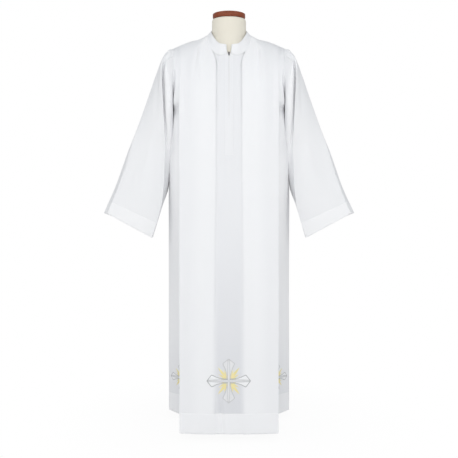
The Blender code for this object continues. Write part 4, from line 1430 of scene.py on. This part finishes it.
# The form's padded surface: the solid's own shape, remeshed finely and smoothed.
def makeFormBody(material):
    pick(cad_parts["form_body"])
    bpy.ops.object.duplicate()
    piece = bpy.context.object
    piece.name = "paddedForm"
    bpy.ops.object.mode_set(mode="EDIT")
    bpy.ops.mesh.select_all(action="SELECT")
    bpy.ops.mesh.remove_doubles(threshold=formCover["merge"])
    bpy.ops.object.mode_set(mode="OBJECT")
    bpy.ops.object.transform_apply(location=True, rotation=True, scale=True)
    applyModifier(piece, "REMESH", mode="VOXEL", voxel_size=formCover["voxel"])
    applyModifier(piece, "SMOOTH", factor=formCover["smoothFactor"], iterations=formCover["smoothing"])
    return finishRigid(piece, material, "form_body")


neckCap = {
    "sides": 96,
    "radius": 0.0612,
    "low": 1.5302,
    "height": 0.0178,
    "middleY": -0.004,
    "rim": 0.006,
    "dish": 0.0025,
    # the parts of the dish's depth that it sinks at the rim and further in, and where that is
    "dishParts": (0.7, 0.3),
    "dishInset": 0.4,
    "bevel": 0.0030,
    "groove": 0.0014,
    "bead": 0.0045,
}
faceUp = 0.9


# A turned wooden cap: a dished top inside a rim, and a bead above a groove round its foot.
def makeNeckCap(material):
    size = neckCap
    bpy.ops.mesh.primitive_cylinder_add(
        vertices=size["sides"],
        radius=size["radius"] - size["groove"],
        depth=size["bead"],
        location=(0, size["middleY"], size["low"] + size["bead"] / 2),
    )
    piece = bpy.context.object
    piece.name = "woodenNeckCap"
    middle = (0, size["middleY"], 0)
    chooseFaces(piece, lambda face: face.normal.z > faceUp)
    wider = size["radius"] / (size["radius"] - size["groove"])
    extrudeFaces(size["groove"] / 2)
    bpy.ops.transform.resize(value=(wider, wider, 1), center_override=middle)
    extrudeFaces(size["height"] - size["bead"] - size["groove"] / 2)
    bpy.ops.mesh.inset(thickness=size["rim"])
    for inset, part in zip((size["rim"], size["radius"] * size["dishInset"]), size["dishParts"]):
        bpy.ops.mesh.inset(thickness=inset)
        bpy.ops.transform.translate(value=(0, 0, -size["dish"] * part))
    bpy.ops.object.mode_set(mode="OBJECT")
    bevelEdges(piece, size["bevel"], segments=5, angle=35)
    return finishRigid(piece, material, "neck_cap")


zipSlider = {
    "place": (0.0, -0.0838, 1.3890),
    "size": (0.0056, 0.0028, 0.0085),
    "shoulder": 0.62,
    "tab": 0.0050,
    # the parts of the tab's length before and after its shoulder
    "tabParts": (0.4, 0.6),
    "bevel": 0.0006,
}


# The closed zip's slider, tucked into the foot of the neck's notch; its dark grey is also painted shade at
# the notch's tip.
def makeZipSlider(material):
    size = zipSlider
    bpy.ops.mesh.primitive_cube_add(size=1, location=size["place"])
    piece = bpy.context.object
    piece.name = "zipSlider"
    bpy.ops.transform.resize(value=size["size"])
    bpy.ops.object.transform_apply(location=True, rotation=True, scale=True)
    chooseFaces(piece, lambda face: face.normal.z < -faceUp)
    x, y, z = size["place"]
    foot = (x, y, z - size["size"][2] / 2)
    before, after = size["tabParts"]
    extrudeFaces(-size["tab"] * before)
    bpy.ops.transform.resize(value=(size["shoulder"], size["shoulder"], 1), center_override=foot)
    extrudeFaces(-size["tab"] * after)
    bpy.ops.object.mode_set(mode="OBJECT")
    bevelEdges(piece, size["bevel"], segments=3, angle=20)
    return finishRigid(piece, material)


def dressNode(name, material):
    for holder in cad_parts[name].material_slots:
        holder.material = material


makeFormBody(makeJersey())
makeNeckCap(makeWood())
makeZipSlider(makeSlider())
steelMaterial = makeSteel()
dressNode("stand_base", steelMaterial)
dressNode("stand_pole", steelMaterial)
print("form and stand dressed")


# Room, light and camera

room = {
    "cameraPlace": (0.0, -2.8, 0.850),
    "cameraTilt": 2.27,
    "lens": 57.66,
    "sensor": 36,
    "skyLight": 0.535,
    "skyColour": (0.92, 0.96, 1.0, 1),
    "lightColour": (1.0, 0.990, 0.972),
    "white": (1, 1, 1, 1),
    "floorSize": 24,
    "floorRoughness": 0.9,
    "floorColour": (0.95, 0.95, 0.95),
    "floorFade": (0.0, 0.8),
    "floorGlow": 0.93,
    "floorBounce": 0.70,
    # place, size, power
    "leftLight": ((-2.4, -2.3, 2.0), 1.8, 19),
    "rightLight": ((2.4, -2.3, 2.0), 1.8, 18),
    "frontLight": ((0.0, -3.4, 1.1), 1.2, 24.8),
    "topLight": ((0.0, -1.2, 3.2), 1.6, 6),
    "aim": (0, 0, 0.85),
}


# Whether a ray comes from the camera, and a strength that is 1 there and `other` elsewhere.
def fromCamera(tree, other):
    seen = addNode(tree, "ShaderNodeLightPath").outputs["Is Camera Ray"]
    return seen, addNode(tree, "ShaderNodeMapRange", {"Value": seen, "To Min": other}).outputs[0]


# The pale floor turns into the white of the room behind it with distance from the object.
def makeFloor():
    bpy.ops.mesh.primitive_plane_add(size=room["floorSize"], location=(0, 0, 0))
    floor = bpy.context.object
    floor.name = "floor"
    material, tree, shader = newMaterial("paleFloor", room["floorColour"], room["floorRoughness"])
    far = addNode(tree, "ShaderNodeVectorMath", {0: objectPlace(tree)}, operation="LENGTH").outputs["Value"]
    near, end = room["floorFade"]
    fade = addNode(
        tree,
        "ShaderNodeMapRange",
        {"Value": far, "From Min": near, "From Max": end, "To Min": room["floorGlow"]},
        interpolation_type="SMOOTHSTEP",
    ).outputs[0]
    strength = fromCamera(tree, room["floorBounce"])[1]
    glow = addNode(tree, "ShaderNodeEmission", {"Color": room["white"], "Strength": strength}).outputs[0]
    both = addNode(tree, "ShaderNodeMixShader", {0: fade, 1: shader.outputs[0], 2: glow}).outputs[0]
    tree.links.new(both, tree.nodes["Material Output"].inputs["Surface"])
    floor.data.materials.append(material)


def makeSky():
    world = bpy.data.worlds.new("studio")
    world.use_nodes = True
    tree = world.node_tree
    seen, strength = fromCamera(tree, room["skyLight"])
    colour = mixColours(tree, seen, room["skyColour"], room["white"])
    setInputs(tree, tree.nodes["Background"], {"Color": colour, "Strength": strength})
    bpy.context.scene.world = world


def makeLight(name):
    place, size, power = room[name]
    bpy.ops.object.light_add(type="AREA", location=place)
    light = bpy.context.object
    light.name = name
    light.data.size = size
    light.data.energy = power
    light.data.color = room["lightColour"]
    aim = np.array(room["aim"]) - np.array(place)
    light.rotation_euler = (
        math.pi / 2 + math.atan2(aim[2], math.hypot(aim[0], aim[1])),
        0,
        math.atan2(aim[1], aim[0]) - math.pi / 2,
    )


def makeCamera():
    bpy.ops.object.camera_add(location=room["cameraPlace"])
    camera = bpy.context.object
    camera.name = "frontCamera"
    camera.rotation_euler = (math.radians(90 - room["cameraTilt"]), 0, 0)
    camera.data.lens = room["lens"]
    camera.data.sensor_width = room["sensor"]
    bpy.context.scene.camera = camera


makeFloor()
makeSky()
for lightName in ("leftLight", "rightLight", "frontLight", "topLight"):
    makeLight(lightName)
makeCamera()
bpy.context.scene.view_settings.view_transform = "Standard"
print("room made")
